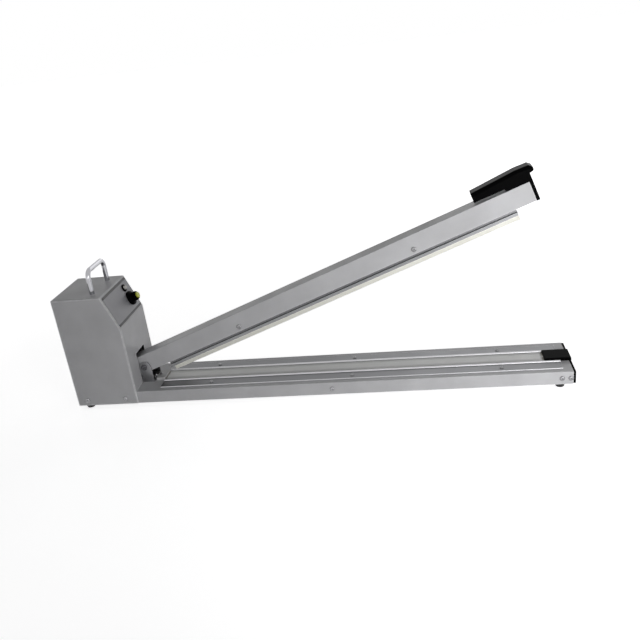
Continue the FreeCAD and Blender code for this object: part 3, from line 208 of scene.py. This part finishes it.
def use_group(tree, group, place, **values):
    """A shader group fed with the place and plain numbers."""
    made = add_node(tree, "ShaderNodeGroup", node_tree=group)
    tree.links.new(place, made.inputs["Place"])
    for name, value in values.items():
        made.inputs[name].default_value = value
    return made


def finish_shader(tree, shader, colour, roughness, height=None, strength=0.1, distance=0.0002):
    """Join colour, roughness and relief to the Principled shader."""
    tree.links.new(colour, shader.inputs["Base Color"])
    tree.links.new(roughness, shader.inputs["Roughness"])
    if height is not None:
        bump = add_node(tree, "ShaderNodeBump", {"Strength": strength, "Distance": distance,
                                                 "Height": height})
        tree.links.new(bump.outputs[0], shader.inputs["Normal"])


def coated(name, base, worn_and_highlit, rough, metallic=0.0, flake=900.0, relief=0.12, wear_and_highlight=0.5, coat=0.0,
           spread=0.12, dirt=0.12, reach=0.0012, gloss=0.5, full=0.86, inside=None):
    """Painted, plated or moulded skin: a base colour with smudges, fine relief and bright edges, which are
    rubbed wear on most finishes and painted highlight along the bends of the grey paints.

    Inside is a mask of the faces painted near black as shade.
    """
    material, tree, shader, place = start_material(name)
    edges = use_group(tree, EDGE_WEAR_AND_HIGHLIGHT, place, Amount=wear_and_highlight, Reach=reach, Full=full)
    grime = use_group(tree, GRIME, place)
    dull = tuple(channel * (1.0 - dirt) for channel in base[:3]) + (1.0,)
    colour = mix_colours(tree, grime.outputs["Broad"], base, dull)
    # bright edges: rubbed wear, and painted highlight where the edge colour is near white
    colour = mix_colours(tree, edges.outputs["Mask"], colour, worn_and_highlit)
    # painted shade: the box's inner faces turn near black
    if inside:
        colour = mix_colours(tree, inside(tree, place), colour, INK_AND_SHADE)
    rough_value = maths(tree, "MULTIPLY_ADD", grime.outputs["Broad"], spread, rough)
    rough_value = maths(tree, "MULTIPLY_ADD", grime.outputs["Fine"], spread * 0.4, rough_value)
    finish_shader(tree, shader, colour, rough_value, noise(tree, place, flake, 2.0), relief)
    shader.inputs["Metallic"].default_value = metallic
    shader.inputs["Specular IOR Level"].default_value = gloss
    shader.inputs["Coat Weight"].default_value = coat
    shader.inputs["Coat Roughness"].default_value = 0.12
    return material


def inside_housing(tree, place):
    """1 on the inner faces of the folded box, which take painted shade, and 0 on its skin, from the place's
    depth under each wall.
    """
    spots = add_node(tree, "ShaderNodeSeparateXYZ", {0: place}).outputs
    out = vector_maths(tree, "DOT_PRODUCT", place, tuple(OUT_OF_PANEL), output=1)
    slant = float(SLANT_TOP @ OUT_OF_PANEL)
    tests = [("LESS_THAN", maths(tree, "ABSOLUTE", spots[1]), BOX_HALF - SKIN),
             ("GREATER_THAN", spots[0], REAR_X + SKIN),
             ("LESS_THAN", spots[0], FRONT_X - SKIN),
             ("LESS_THAN", spots[2], BOX_TOP - SKIN),
             ("LESS_THAN", out, slant - SKIN)]
    deep = maths(tree, *tests[0])
    for test in tests[1:]:
        deep = maths(tree, "MULTIPLY", deep, maths(tree, *test))
    return deep


def rib_and_rim_highlight(tree, place):
    """1 on the bed's two ribs and its outer rims, which take painted highlight, and 0 on its wings."""
    spots = add_node(tree, "ShaderNodeSeparateXYZ", {0: place}).outputs
    rib = maths(tree, "GREATER_THAN", spots[2], RIB_FROM)
    rim = maths(tree, "GREATER_THAN", maths(tree, "ABSOLUTE", spots[1]), RIM_FROM)
    return maths(tree, "MAXIMUM", rib, rim)


def brushed(name, base, stretch, rough, worn_and_highlit, relief=0.15, wear_and_highlight=0.4, highlight_mask=None):
    """Drawn metal, or metal finished by grinding: fine lines along one axis, given as noise scales along X,
    Y and Z.

    The last argument is a mask of the faces given the bright edge colour as painted highlight.
    """
    material, tree, shader, place = start_material(name)
    lines = noise(tree, vector_maths(tree, "MULTIPLY", place, stretch), 1.0, 5.0, 0.6)
    edges = use_group(tree, EDGE_WEAR_AND_HIGHLIGHT, place, Amount=wear_and_highlight)
    grime = use_group(tree, GRIME, place)
    dark = tuple(channel * 0.78 for channel in base[:3]) + (1.0,)
    colour = mix_colours(tree, ramp(tree, lines, 0.3, 0.7), dark, base)
    colour = mix_colours(tree, edges.outputs["Mask"], colour, worn_and_highlit)
    # painted highlight: the masked faces take the bright edge colour
    if highlight_mask:
        colour = mix_colours(tree, highlight_mask(tree, place), colour, worn_and_highlit)
    rough_value = maths(tree, "MULTIPLY_ADD", lines, 0.14, rough)
    rough_value = maths(tree, "MULTIPLY_ADD", grime.outputs["Broad"], 0.1, rough_value)
    finish_shader(tree, shader, colour, rough_value, lines, relief, 0.00015)
    shader.inputs["Metallic"].default_value = 1.0
    return material


def woven(name, warp, weft, pitch, half_width):
    """Coated cloth: two crossed sets of threads, darker in the gaps, with painted shade towards the long
    edges.
    """
    material, tree, shader, place = start_material(name)
    parts = add_node(tree, "ShaderNodeSeparateXYZ", {0: place})
    turn = FULL_TURN / pitch
    over = maths(tree, "SINE", maths(tree, "MULTIPLY", parts.outputs[0], turn))
    under = maths(tree, "SINE", maths(tree, "MULTIPLY", parts.outputs[1], turn))
    weave = ramp(tree, maths(tree, "MULTIPLY", over, under), -1.0, 1.0)
    grime = use_group(tree, GRIME, place)
    colour = mix_colours(tree, weave, weft, warp)
    soiled = tuple(channel * 0.85 for channel in warp[:3]) + (1.0,)
    colour = mix_colours(tree, maths(tree, "MULTIPLY", grime.outputs["Broad"], 0.5), colour, soiled)
    # painted shade: the cloth darkens towards its long edges
    edge = ramp(tree, maths(tree, "ABSOLUTE", parts.outputs[1]), half_width * 0.35, half_width)
    painted_edge_shade = tuple(channel * 0.38 for channel in warp[:3]) + (1.0,)
    colour = mix_colours(tree, edge, colour, painted_edge_shade)
    rough = maths(tree, "MULTIPLY_ADD", weave, -0.1, 0.42)
    finish_shader(tree, shader, colour, rough, weave, 0.3, 0.0001)
    return material


def make_panel_film():
    """Plain panel plate: a dark rule along each end and ticks round the knob, with no words."""
    rule_from, tick_radius, tick_reach, tick_half = 0.0232, 0.0148, 0.0014, 0.0004
    tick_step, swept_half = math.radians(28.0), math.radians(142.0)
    pale, aged = (0.36, 0.36, 0.38, 1.0), (0.29, 0.29, 0.31, 1.0)
    material, tree, shader, place = start_material("panel_film")
    grime = use_group(tree, GRIME, place)
    down = maths(tree, "SUBTRACT", vector_maths(tree, "DOT_PRODUCT", place, tuple(DOWN_SLANT), output=1),
                 float(SLANT_TOP @ DOWN_SLANT))
    across = vector_maths(tree, "DOT_PRODUCT", place, tuple(ACROSS), output=1)
    from_middle = maths(tree, "ABSOLUTE", maths(tree, "SUBTRACT", down, PANEL_MIDDLE))
    rule = maths(tree, "GREATER_THAN", from_middle, rule_from)
    u = maths(tree, "SUBTRACT", down, KNOB_DOWN)
    v = maths(tree, "SUBTRACT", across, KNOB_ACROSS)
    square = maths(tree, "ADD", maths(tree, "MULTIPLY", u, u), maths(tree, "MULTIPLY", v, v))
    radius = maths(tree, "SQRT", square)
    angle = maths(tree, "ARCTAN2", v, maths(tree, "MULTIPLY", u, -1.0))
    count = maths(tree, "ROUND", maths(tree, "DIVIDE", angle, tick_step))
    off = maths(tree, "ABSOLUTE", maths(tree, "SUBTRACT", angle, maths(tree, "MULTIPLY", count, tick_step)))
    tick = maths(tree, "LESS_THAN", maths(tree, "MULTIPLY", off, radius), tick_half)
    from_ring = maths(tree, "ABSOLUTE", maths(tree, "SUBTRACT", radius, tick_radius))
    ring = maths(tree, "LESS_THAN", from_ring, tick_reach)
    swept = maths(tree, "LESS_THAN", maths(tree, "ABSOLUTE", angle), swept_half)
    tick = maths(tree, "MULTIPLY", maths(tree, "MULTIPLY", tick, ring), swept)
    colour = mix_colours(tree, grime.outputs["Broad"], pale, aged)
    colour = mix_colours(tree, maths(tree, "MAXIMUM", rule, tick), colour, INK_AND_SHADE)
    rough = maths(tree, "MULTIPLY_ADD", grime.outputs["Fine"], 0.1, 0.34)
    finish_shader(tree, shader, colour, rough, noise(tree, place, 1500.0, 2.0), 0.06)
    return material


def make_lens():
    """Tinted clear lens with a fine moulded relief."""
    material, tree, shader, place = start_material("lamp_lens")
    grime = use_group(tree, GRIME, place)
    colour = mix_colours(tree, grime.outputs["Broad"], (0.9, 0.88, 0.84, 1.0), (0.8, 0.77, 0.72, 1.0))
    rough = maths(tree, "MULTIPLY_ADD", grime.outputs["Fine"], 0.06, 0.08)
    finish_shader(tree, shader, colour, rough, noise(tree, place, 800.0, 2.0), 0.05)
    shader.inputs["Transmission Weight"].default_value = 0.35
    shader.inputs["Coat Weight"].default_value = 0.6
    return material


def make_silicone():
    """Milky rubber strip, faintly dusty and a little uneven."""
    material, tree, shader, place = start_material("white_silicone")
    grime = use_group(tree, GRIME, place)
    colour = mix_colours(tree, grime.outputs["Broad"], (0.93, 0.92, 0.85, 1.0), (0.84, 0.82, 0.74, 1.0))
    rough = maths(tree, "MULTIPLY_ADD", grime.outputs["Fine"], 0.15, 0.42)
    finish_shader(tree, shader, colour, rough, noise(tree, place, 600.0, 3.0), 0.08)
    return material


# Finishes by the record's slots
BRIGHT = (0.78, 0.78, 0.8, 1.0)
PAINT = (0.6, 0.6, 0.614, 1.0)
ALUMINIUM = (0.16, 0.162, 0.168, 1.0)
ALONG_X = (6.0, 1500.0, 1500.0)
FINISHES = {
    # Near-white edge colour at a high amount: painted highlight along the sheet's bends and rims
    "grey_paint": coated(
        "grey_paint", PAINT, (0.97, 0.97, 0.98, 1.0), 0.27, flake=2600.0, relief=0.07, wear_and_highlight=0.85,
        reach=0.0018, gloss=0.22),
    "black_plastic": coated(
        "black_plastic", (0.002, 0.002, 0.0022, 1.0), (0.012, 0.012, 0.012, 1.0), 0.16, flake=1400.0,
        relief=0.03, wear_and_highlight=0.2, gloss=0.008, spread=0.08),
    "black_rubber": coated(
        "black_rubber", (0.018, 0.018, 0.018, 1.0), (0.06, 0.06, 0.06, 1.0), 0.66, flake=900.0,
        relief=0.3, wear_and_highlight=0.3),
    "zinc_steel": coated(
        "zinc_steel", (0.3, 0.3, 0.31, 1.0), BRIGHT, 0.24, metallic=1.0, flake=1800.0, relief=0.1,
        wear_and_highlight=0.3),
    "dark_steel": coated(
        "dark_steel", (0.27, 0.27, 0.275, 1.0), (0.45, 0.45, 0.46, 1.0), 0.34, metallic=1.0,
        flake=1800.0, relief=0.1, wear_and_highlight=0.4),
    "bare_aluminium": brushed("bare_aluminium", ALUMINIUM, ALONG_X, 0.28, BRIGHT),
    "brown_board": coated("brown_board", (0.42, 0.4, 0.35, 1.0), (0.5, 0.48, 0.42, 1.0), 0.55),
    "band_steel": brushed("band_steel", (0.42, 0.4, 0.38, 1.0), (8.0, 2600.0, 2600.0), 0.3, BRIGHT),
    "release_fabric": woven(
        "release_fabric", (0.92, 0.92, 0.91, 1.0), (0.8, 0.8, 0.79, 1.0), 0.0011, 0.0147),
    "grey_plastic": coated("grey_plastic", (0.58, 0.58, 0.58, 1.0), (0.7, 0.7, 0.7, 1.0), 0.4, wear_and_highlight=0.3),
    "brass_bush": brushed(
        "brass_bush", (0.7, 0.52, 0.24, 1.0), (900.0, 30.0, 900.0), 0.25, (0.85, 0.7, 0.4, 1.0)),
    "white_silicone": make_silicone(),
    "panel_film": make_panel_film(),
    "lamp_glass": make_lens(),
    "yellow_plastic": coated(
        "yellow_plastic", (0.68, 0.72, 0.07, 1.0), (0.7, 0.74, 0.3, 1.0), 0.24, flake=1200.0, relief=0.05,
        wear_and_highlight=0.25, coat=0.3),
    "circuit_green": coated("circuit_green", (0.03, 0.16, 0.07, 1.0), (0.1, 0.3, 0.15, 1.0), 0.4),
    "handle_chrome": coated(
        "handle_chrome", (0.42, 0.42, 0.44, 1.0), (0.9, 0.9, 0.9, 1.0), 0.05, metallic=1.0, flake=700.0,
        relief=0.015, wear_and_highlight=0.1, spread=0.06, dirt=0.05),
    "core_iron": coated("core_iron", (0.12, 0.12, 0.13, 1.0), (0.3, 0.3, 0.3, 1.0), 0.5, metallic=0.6),
    "coil_wrap": coated("coil_wrap", (0.5, 0.36, 0.08, 1.0), (0.6, 0.5, 0.2, 1.0), 0.45),
    "spring_steel": coated("spring_steel", (0.42, 0.42, 0.43, 1.0), BRIGHT, 0.28, metallic=1.0),
}


# Nodes whose finish differs a little from their slot's
NODE_FINISHES = {
    # Bed: its ribs and rims take a bright colour as painted highlight
    "bed_plate": brushed(
        "bed_aluminium", ALUMINIUM, ALONG_X, 0.28, (0.48, 0.48, 0.495, 1.0), highlight_mask=rib_and_rim_highlight),
    # Housing: near-white edges at full amount are painted highlight along the bends; the inner faces are
    # painted near black as shade
    "housing_cover": coated(
        "housing_paint", PAINT, (0.98, 0.98, 0.99, 1.0), 0.27, flake=2600.0, relief=0.07, wear_and_highlight=1.0,
        reach=0.003, gloss=0.22, full=0.955, inside=inside_housing),
    "pressure_bar": brushed("dull_aluminium", (0.24, 0.243, 0.25, 1.0), ALONG_X, 0.3, BRIGHT),
}


def paint_nodes():
    """Give each solid node its own finish or the finish of its slot."""
    for entry in frame["record"]["subparts"]:
        piece = nodes[entry["node"]]
        piece.data.materials.clear()
        piece.data.materials.append(NODE_FINISHES.get(entry["node"], FINISHES[entry["material_slot"]]))


paint_nodes()


# Surfaces on grids
def add_piece(name, points, faces, slot_name, body, replaced, finish=None):
    """Mesh object from points and faces, shaded smooth, with its slot's finish or another one."""
    mesh = bpy.data.meshes.new(name)
    mesh.from_pydata(points.tolist(), [], faces)
    mesh.polygons.foreach_set("use_smooth", np.ones(len(mesh.polygons), dtype=bool))
    mesh.update()
    mesh.materials.append(FINISHES[finish or slot_name])
    piece = bpy.data.objects.new(name, mesh)
    bpy.context.scene.collection.objects.link(piece)
    if body:
        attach(piece, body)
    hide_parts(replaced)
    return piece


def grid_quads(rows, columns, looped=False):
    """Faces of a row of rings of points, looped if the last ring joins the first."""
    row, column = np.meshgrid(np.arange(rows if looped else rows - 1), np.arange(columns), indexing="ij")
    below, after = (row + 1) % rows, (column + 1) % columns
    corners = [row * columns + column, row * columns + after,
               below * columns + after, below * columns + column]
    return np.stack(corners, axis=-1).reshape(-1, 4)


def capped_rings(rings):
    """Points, four-sided faces and closing fans of a row of rings; a fan meets in its end ring's middle."""
    rows, columns = rings.shape[:2]
    points = np.concatenate([rings.reshape(-1, 3), rings[[0, -1]].mean(axis=1)])
    along = np.arange(columns)
    after = (along + 1) % columns
    middle, last = rows * columns, (rows - 1) * columns
    start = np.stack([np.full(columns, middle), after, along], axis=-1)
    end = np.stack([np.full(columns, middle + 1), last + along, last + after], axis=-1)
    return points, grid_quads(rows, columns), np.concatenate([start, end])


def pan_head(width, height, shank, length):
    """Domed screw with a cross recess, Z out of the head.

    Radius t*R for t in 0..1, height h*(1 - 0.5*t^4) less a recess that is deep where the smaller of |x| and
    |y| is under the blade's half width and t is under 0.56; then the rim drops to 0 and runs in to the
    shank, whose radius narrows at the tip.
    """
    rings, around = 26, 72
    t = np.linspace(0.02, 1.0, rings)[:, None]
    a = np.linspace(FULL_TURN, 0.0, around, endpoint=False)[None, :]
    radius = width / 2.0
    x, y = radius * t * np.cos(a), radius * t * np.sin(a)
    blade = np.minimum(np.abs(x), np.abs(y))
    inside = 1.0 / (1.0 + np.exp((blade - 0.13 * radius) / (0.03 * radius)))
    inside = inside / (1.0 + np.exp((t - 0.56) / 0.03))
    z = height * (1.0 - 0.5 * t ** 4) - 0.62 * height * inside * (1.0 - 0.6 * t)
    top = np.stack([x, y, z], axis=-1)
    thin = radius * shank / width
    rim_radius = np.array([radius, 0.985 * radius, thin, thin, thin, 0.8 * thin])[:, None]
    rim_height = np.array([0.06 * height, 0.0, 0.0, -0.3 * length, -0.96 * length, -length])[:, None]
    rim = np.stack([rim_radius * np.cos(a), rim_radius * np.sin(a), rim_height + 0.0 * a], axis=-1)
    return capped_rings(np.concatenate([top, rim]))


def screw_piece(name, spots, sizes, body, replaced, slot_name="zinc_steel", finish=None):
    """Screws at several spots, each a place, the direction out of the head and a turn of the cross."""
    points, quads, fans = pan_head(*sizes)
    all_points, all_faces = [], []
    for count, (place, out, spin) in enumerate(spots):
        side = np.cross(out, [1.0, 0.0, 0.0])
        other = np.cross(side, out)
        first = math.cos(spin) * other + math.sin(spin) * side
        all_points.append(points @ np.stack([first, np.cross(out, first), out]) + np.asarray(place))
        shift = count * len(points)
        all_faces += (quads + shift).tolist() + (fans + shift).tolist()
    add_piece(name, np.concatenate(all_points), all_faces, slot_name, body, replaced, finish)


def side_spots(xs, z, reach):
    """Screw places on the front and back faces, with a different turn of the cross at each."""
    spots = []
    for sign in (-1.0, 1.0):
        for count, x in enumerate(xs):
            spots.append(((x, sign * reach, z), (0.0, sign, 0.0), 0.4 + 0.9 * count + sign))
    return spots


def arm_place(along, up, across):
    """Point in the arm's own measures, in the shared frame."""
    return PIVOT + ALONG_ARM * along + UP_FROM_ARM * up + ACROSS * across


def make_screws():
    """Screws with cross recesses where screws show, with the lengths of the solid model.

    Sizes are the head's width and height, then the shank's width and length.
    """
    head = (0.0078, 0.0026, 0.004)
    wing_screw = (0.0056, 0.002, 0.003, 0.0048)
    bolt = (0.01, 0.003, 0.006, 0.0394)
    in_cap, in_wall, through_arm = 0.009, 0.0052, 0.0342
    bar_screw_up, bolt_head_y = -0.0024, -0.0176
    wing_y, wing_top = 0.0305, 0.0285

    spots = side_spots([END_X - 0.007, END_X - 0.02], SIDE_SCREW_HEIGHT, BASE_HALF)
    screw_piece("base_end_screws", spots, (*head, in_cap), "base", "end_cap_screws")
    spots = side_spots([REAR_X + 0.018, REAR_X + 0.0845], SIDE_SCREW_HEIGHT, BOX_HALF)
    screw_piece("housing_side_screws", spots, (*head, in_wall), "base", "housing_screws")
    spots = side_spots([REAR_X + 0.429], SIDE_SCREW_HEIGHT, BASE_HALF)
    screw_piece("brace_side_screws", spots, (*head, in_wall), "base", "brace_screws", "dark_steel",
                "zinc_steel")
    spots = [(arm_place(along, bar_screw_up, -ARM_HALF), (0.0, -1.0, 0.0), 0.5 + along)
             for along in BAR_SCREWS.values()]
    screw_piece("bar_guide_screws", spots, (*head, through_arm), "arm", "float_screws", "dark_steel")
    first, last = FRONT_X + 0.123, END_X - 0.107
    spots = [((x, side * wing_y, wing_top), (0.0, 0.0, 1.0), 0.7 + x) for side in (-1.0, 1.0)
             for x in (first, (first + last) / 2.0, last)]
    screw_piece("bed_wing_screws", spots, wing_screw, "base", "bed_screws", "dark_steel")
    spots = [((PIVOT[0], bolt_head_y, PIVOT[2]), (0.0, -1.0, 0.0), 0.3)]
    screw_piece("hinge_bolt", spots, bolt, "base", "pivot_bolt", "dark_steel", "core_iron")


def make_knob():
    """Fluted knob: a closed profile r(z) about the panel's normal, drawn in at twelve flutes.

    On the grip, r is less by the flute's depth times max(cos(12*a), 0)^1.5, faded out at both ends.
    """
    profile = np.array([
        [0.00305, 0.0143], [0.00525, 0.0143], [0.00535, 0.0149], [0.0064, 0.0152], [0.0071, 0.0147],
        [0.0075, 0.0132], [0.0077, 0.0098], [0.0079, 0.0068], [0.0088, 0.0056], [0.0108, 0.0048],
        [0.0117, 0.0042], [0.0121, 0.0034], [0.0122, 0.0022], [0.0121, 0.0014], [0.0116, 0.0013],
        [0.00725, 0.0013], [0.00725, 0.0033], [0.00305, 0.0033], [0.00305, 0.0143],
    ])
    rings, around, flutes, flute_depth = 90, 192, 12, 0.06
    grip_low, grip_high, grip_radius = 0.0056, 0.0151, 0.006
    stretch = np.linspace(0, len(profile) - 1, rings, endpoint=False)
    radius = np.interp(stretch, np.arange(len(profile)), profile[:, 0])[:, None]
    level = np.interp(stretch, np.arange(len(profile)), profile[:, 1])[:, None]
    a = np.linspace(FULL_TURN, 0.0, around, endpoint=False)[None, :]
    on_grip = np.clip((level - grip_low) / 0.001, 0, 1) * np.clip((grip_high - level) / 0.0006, 0, 1)
    on_grip = on_grip * (radius > grip_radius)
    flute = np.clip(np.cos(flutes * a), 0.0, 1.0) ** 1.5
    drawn = radius * (1.0 - flute_depth * on_grip * flute)
    local = np.stack([drawn * np.cos(a), drawn * np.sin(a), level + 0.0 * a], axis=-1).reshape(-1, 3)
    points = KNOB_CENTRE + local @ np.stack([DOWN_SLANT, ACROSS, OUT_OF_PANEL])
    faces = grid_quads(rings, around, looped=True).tolist()
    add_piece("fluted_knob", points, faces, "black_plastic", "knob", "timer_knob")


def coil_tube(foot, axis, radius, wire, turns, length):
    """Round wire wound about an axis.

    Its centre line is foot + axis*s*length + radius*(cos, sin)(2*pi*turns*s) for s from 0 to 1, drawn in at
    both ends by half the wire.
    """
    first = ACROSS
    second = np.cross(axis, first)
    rows, around = int(turns * 36) + 1, 12
    s = np.linspace(0.0, 1.0, rows)[:, None]
    a = FULL_TURN * turns * s
    out = np.cos(a) * first + np.sin(a) * second
    ahead = FULL_TURN * turns * radius * (np.cos(a) * second - np.sin(a) * first) + length * axis
    ahead = ahead / np.linalg.norm(ahead, axis=1, keepdims=True)
    side = np.cross(ahead, out)
    line = foot + axis * (wire / 2.0 + s * (length - wire)) + radius * out
    b = np.linspace(0.0, FULL_TURN, around, endpoint=False)[None, :, None]
    tube = line[:, None, :] + wire / 2.0 * (np.cos(b) * out[:, None, :] + np.sin(b) * side[:, None, :])
    points, quads, fans = capped_rings(tube)
    return points, quads.tolist() + fans.tolist()


def make_springs():
    """Coil springs over the bar, which ride with the arm, and the return spring, which stays where the
    solid one stood.
    """
    wire, bar_radius, tail_radius = 0.0012, 0.0044, 0.0039
    bar_turns, tail_turns = 5.0, 8.0
    bar_foot, bar_length, bar_seat, bar_keep = 0.00315, 0.0147, 0.018, 0.72
    for end, along in BAR_SCREWS.items():
        foot = arm_place(along, bar_foot, 0.0)
        points, faces = coil_tube(foot, UP_FROM_ARM, bar_radius, wire, bar_turns, bar_length)
        spring = add_piece(f"bar_spring_{end}", points, faces, "spring_steel", "arm", f"float_spring_{end}")
        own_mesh(spring)
    low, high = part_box("return_spring")
    foot = np.array([(low[0] + high[0]) / 2.0, 0.0, low[2]])
    points, faces = coil_tube(foot, np.array([0.0, 0.0, 1.0]), tail_radius, wire, tail_turns,
                              high[2] - low[2])
    spring = add_piece("tail_spring", points, faces, "spring_steel", None, "return_spring")
    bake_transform(spring)


def make_cloth():
    """Release cloth stretched along the bed, a thin closed sheet.

    Its top lies at the solid cloth's top plus a low crown over the hot band, crown*exp(-(y/b)^2), plus
    slack ripples that fade at the long edges, slack*(1 - v^2)*(1 + sin(k*x + 2*sin(0.3*k*x + v)))/2 with v
    from 1 to -1 across; its underside keeps the solid's.
    """
    low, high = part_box("release_cloth")
    width, length = high[1] - low[1], high[0] - low[0]
    rows, columns = 301, 25
    crown, slack, band_half, ripple = 0.00008, 0.00005, 0.003, FULL_TURN / 0.041
    x = np.linspace(low[0], high[0], rows)[:, None]
    v = np.linspace(1.0, -1.0, columns)[None, :]
    y = v * width / 2.0 + 0.0 * x
    wave = np.sin(ripple * x + 2.0 * np.sin(0.3 * ripple * x + v))
    lift = crown * np.exp(-(y / band_half) ** 2) + slack * (1.0 - v ** 2) * (1.0 + wave) / 2.0
    upper = np.stack([x + 0.0 * v, y, high[2] + lift], axis=-1)
    lower = np.stack([x + 0.0 * v, y, low[2] + 0.0 * lift], axis=-1)
    points, quads, fans = capped_rings(np.concatenate([upper, lower[:, ::-1]], axis=1))
    faces = quads.tolist() + fans.tolist()
    cloth = add_piece("stretched_cloth", points, faces, "release_fabric", "base", "release_cloth")


make_screws()
make_knob()
make_springs()
make_cloth()


# Stage, light and camera
def seen_rays(tree):
    """1 for rays from the camera, in reflections and through glass, 0 for rays that only carry light."""
    rays = add_node(tree, "ShaderNodeLightPath").outputs
    mirrored = maths(tree, "MAXIMUM", rays["Is Glossy Ray"], rays["Is Transmission Ray"])
    return maths(tree, "MAXIMUM", rays["Is Camera Ray"], mirrored)


def make_floor():
    """Wide pale floor that keeps the object's shadow, raised towards white where seen or mirrored."""
    reach, near, far, near_level, far_level = 12.0, 0.6, 1.7, 0.78, 0.97
    mesh = bpy.data.meshes.new("floor")
    mesh.from_pydata([(-reach, -reach, 0), (reach, -reach, 0), (reach, reach, 0), (-reach, reach, 0)], [],
                     [(0, 1, 2, 3)])
    floor = bpy.data.objects.new("floor", mesh)
    bpy.context.scene.collection.objects.link(floor)
    material, tree, shader, place = start_material("floor_white")
    colour = mix_colours(tree, noise(tree, place, 3.0), (0.9, 0.9, 0.905, 1.0), (0.93, 0.93, 0.93, 1.0))
    rough = maths(tree, "MULTIPLY_ADD", noise(tree, place, 20.0), 0.1, 0.5)
    finish_shader(tree, shader, colour, rough)
    away = vector_maths(tree, "DISTANCE", place, output=1)
    raised = ramp(tree, away, near, far, near_level, far_level)
    strength = maths(tree, "MULTIPLY", seen_rays(tree), raised)
    glow = add_node(tree, "ShaderNodeEmission", {0: WHITE, 1: strength})
    both = add_node(tree, "ShaderNodeAddShader", {0: shader.outputs[0], 1: glow.outputs[0]})
    output = next(node for node in tree.nodes if node.type == "OUTPUT_MATERIAL")
    tree.links.new(both.outputs[0], output.inputs["Surface"])
    mesh.materials.append(material)


def make_world():
    """Even pale surroundings that light a little, plain white where they are seen or mirrored."""
    lit_level, seen_level = 0.085, 1.0
    world = bpy.data.worlds.new("studio")
    bpy.context.scene.world = world
    world.use_nodes = True
    tree = world.node_tree
    dim = next(node for node in tree.nodes if node.type == "BACKGROUND")
    dim.inputs["Color"].default_value = (0.84, 0.845, 0.86, 1.0)
    dim.inputs["Strength"].default_value = lit_level
    white = add_node(tree, "ShaderNodeBackground", {0: WHITE, 1: seen_level})
    mixed = add_node(tree, "ShaderNodeMixShader",
                     {0: seen_rays(tree), 1: dim.outputs[0], 2: white.outputs[0]})
    output = next(node for node in tree.nodes if node.type == "OUTPUT_WORLD")
    tree.links.new(mixed.outputs[0], output.inputs["Surface"])


def place_facing(thing, place, right, up, back):
    """Put a light or the camera at a place, with its own X, Y and Z along three directions."""
    matrix = Matrix.Identity(4)
    for column, direction in enumerate((right, up, back, place)):
        for row in range(3):
            matrix[row][column] = direction[row]
    thing.matrix_world = matrix


def add_softbox(name, place, target, width, height, power, beam=180.0):
    """Rectangular soft light aimed at a point, its beam in degrees."""
    light = bpy.data.lights.new(name, "AREA")
    light.shape = "RECTANGLE"
    light.size = width
    light.size_y = height
    light.energy = power
    light.spread = math.radians(beam)
    lamp = bpy.data.objects.new(name, light)
    bpy.context.scene.collection.objects.link(lamp)
    back = np.subtract(place, target)
    back = back / np.linalg.norm(back)
    side = np.cross([0.0, 0.0, 1.0], back)
    side = side / np.linalg.norm(side)
    place_facing(lamp, place, side, np.cross(back, side), back)


def make_camera():
    """Camera worked out from the photo's corners, looking along the fitted axes."""
    place = (0.181935, -1.029613, 0.558518)
    right = np.array((0.987491658, 0.110368184, -0.112601461))
    down = np.array((-0.058968462, -0.403808655, -0.912941012))
    ahead = np.array((-0.146229087, 0.908161568, -0.392249436))
    data = bpy.data.cameras.new("camera")
    data.sensor_width = 36.0
    data.lens = 39.957
    data.clip_end = 60.0
    camera = bpy.data.objects.new("camera", data)
    bpy.context.scene.collection.objects.link(camera)
    place_facing(camera, place, right, -down, -ahead)
    bpy.context.scene.camera = camera


make_floor()
make_world()
add_softbox("front_right", (0.75, -0.8, 0.34), (0.66, 0.0, 0.24), 0.9, 0.5, 3.8, 125.0)
add_softbox("front", (-0.3, -1.9, 0.4), (0.0, 0.0, 0.1), 2.0, 0.8, 4.6)
add_softbox("behind", (0.7, 2.1, 1.1), (0.0, 0.0, 0.1), 1.8, 1.4, 6.4)
make_camera()

scene = bpy.context.scene
scene.view_settings.view_transform = "Standard"
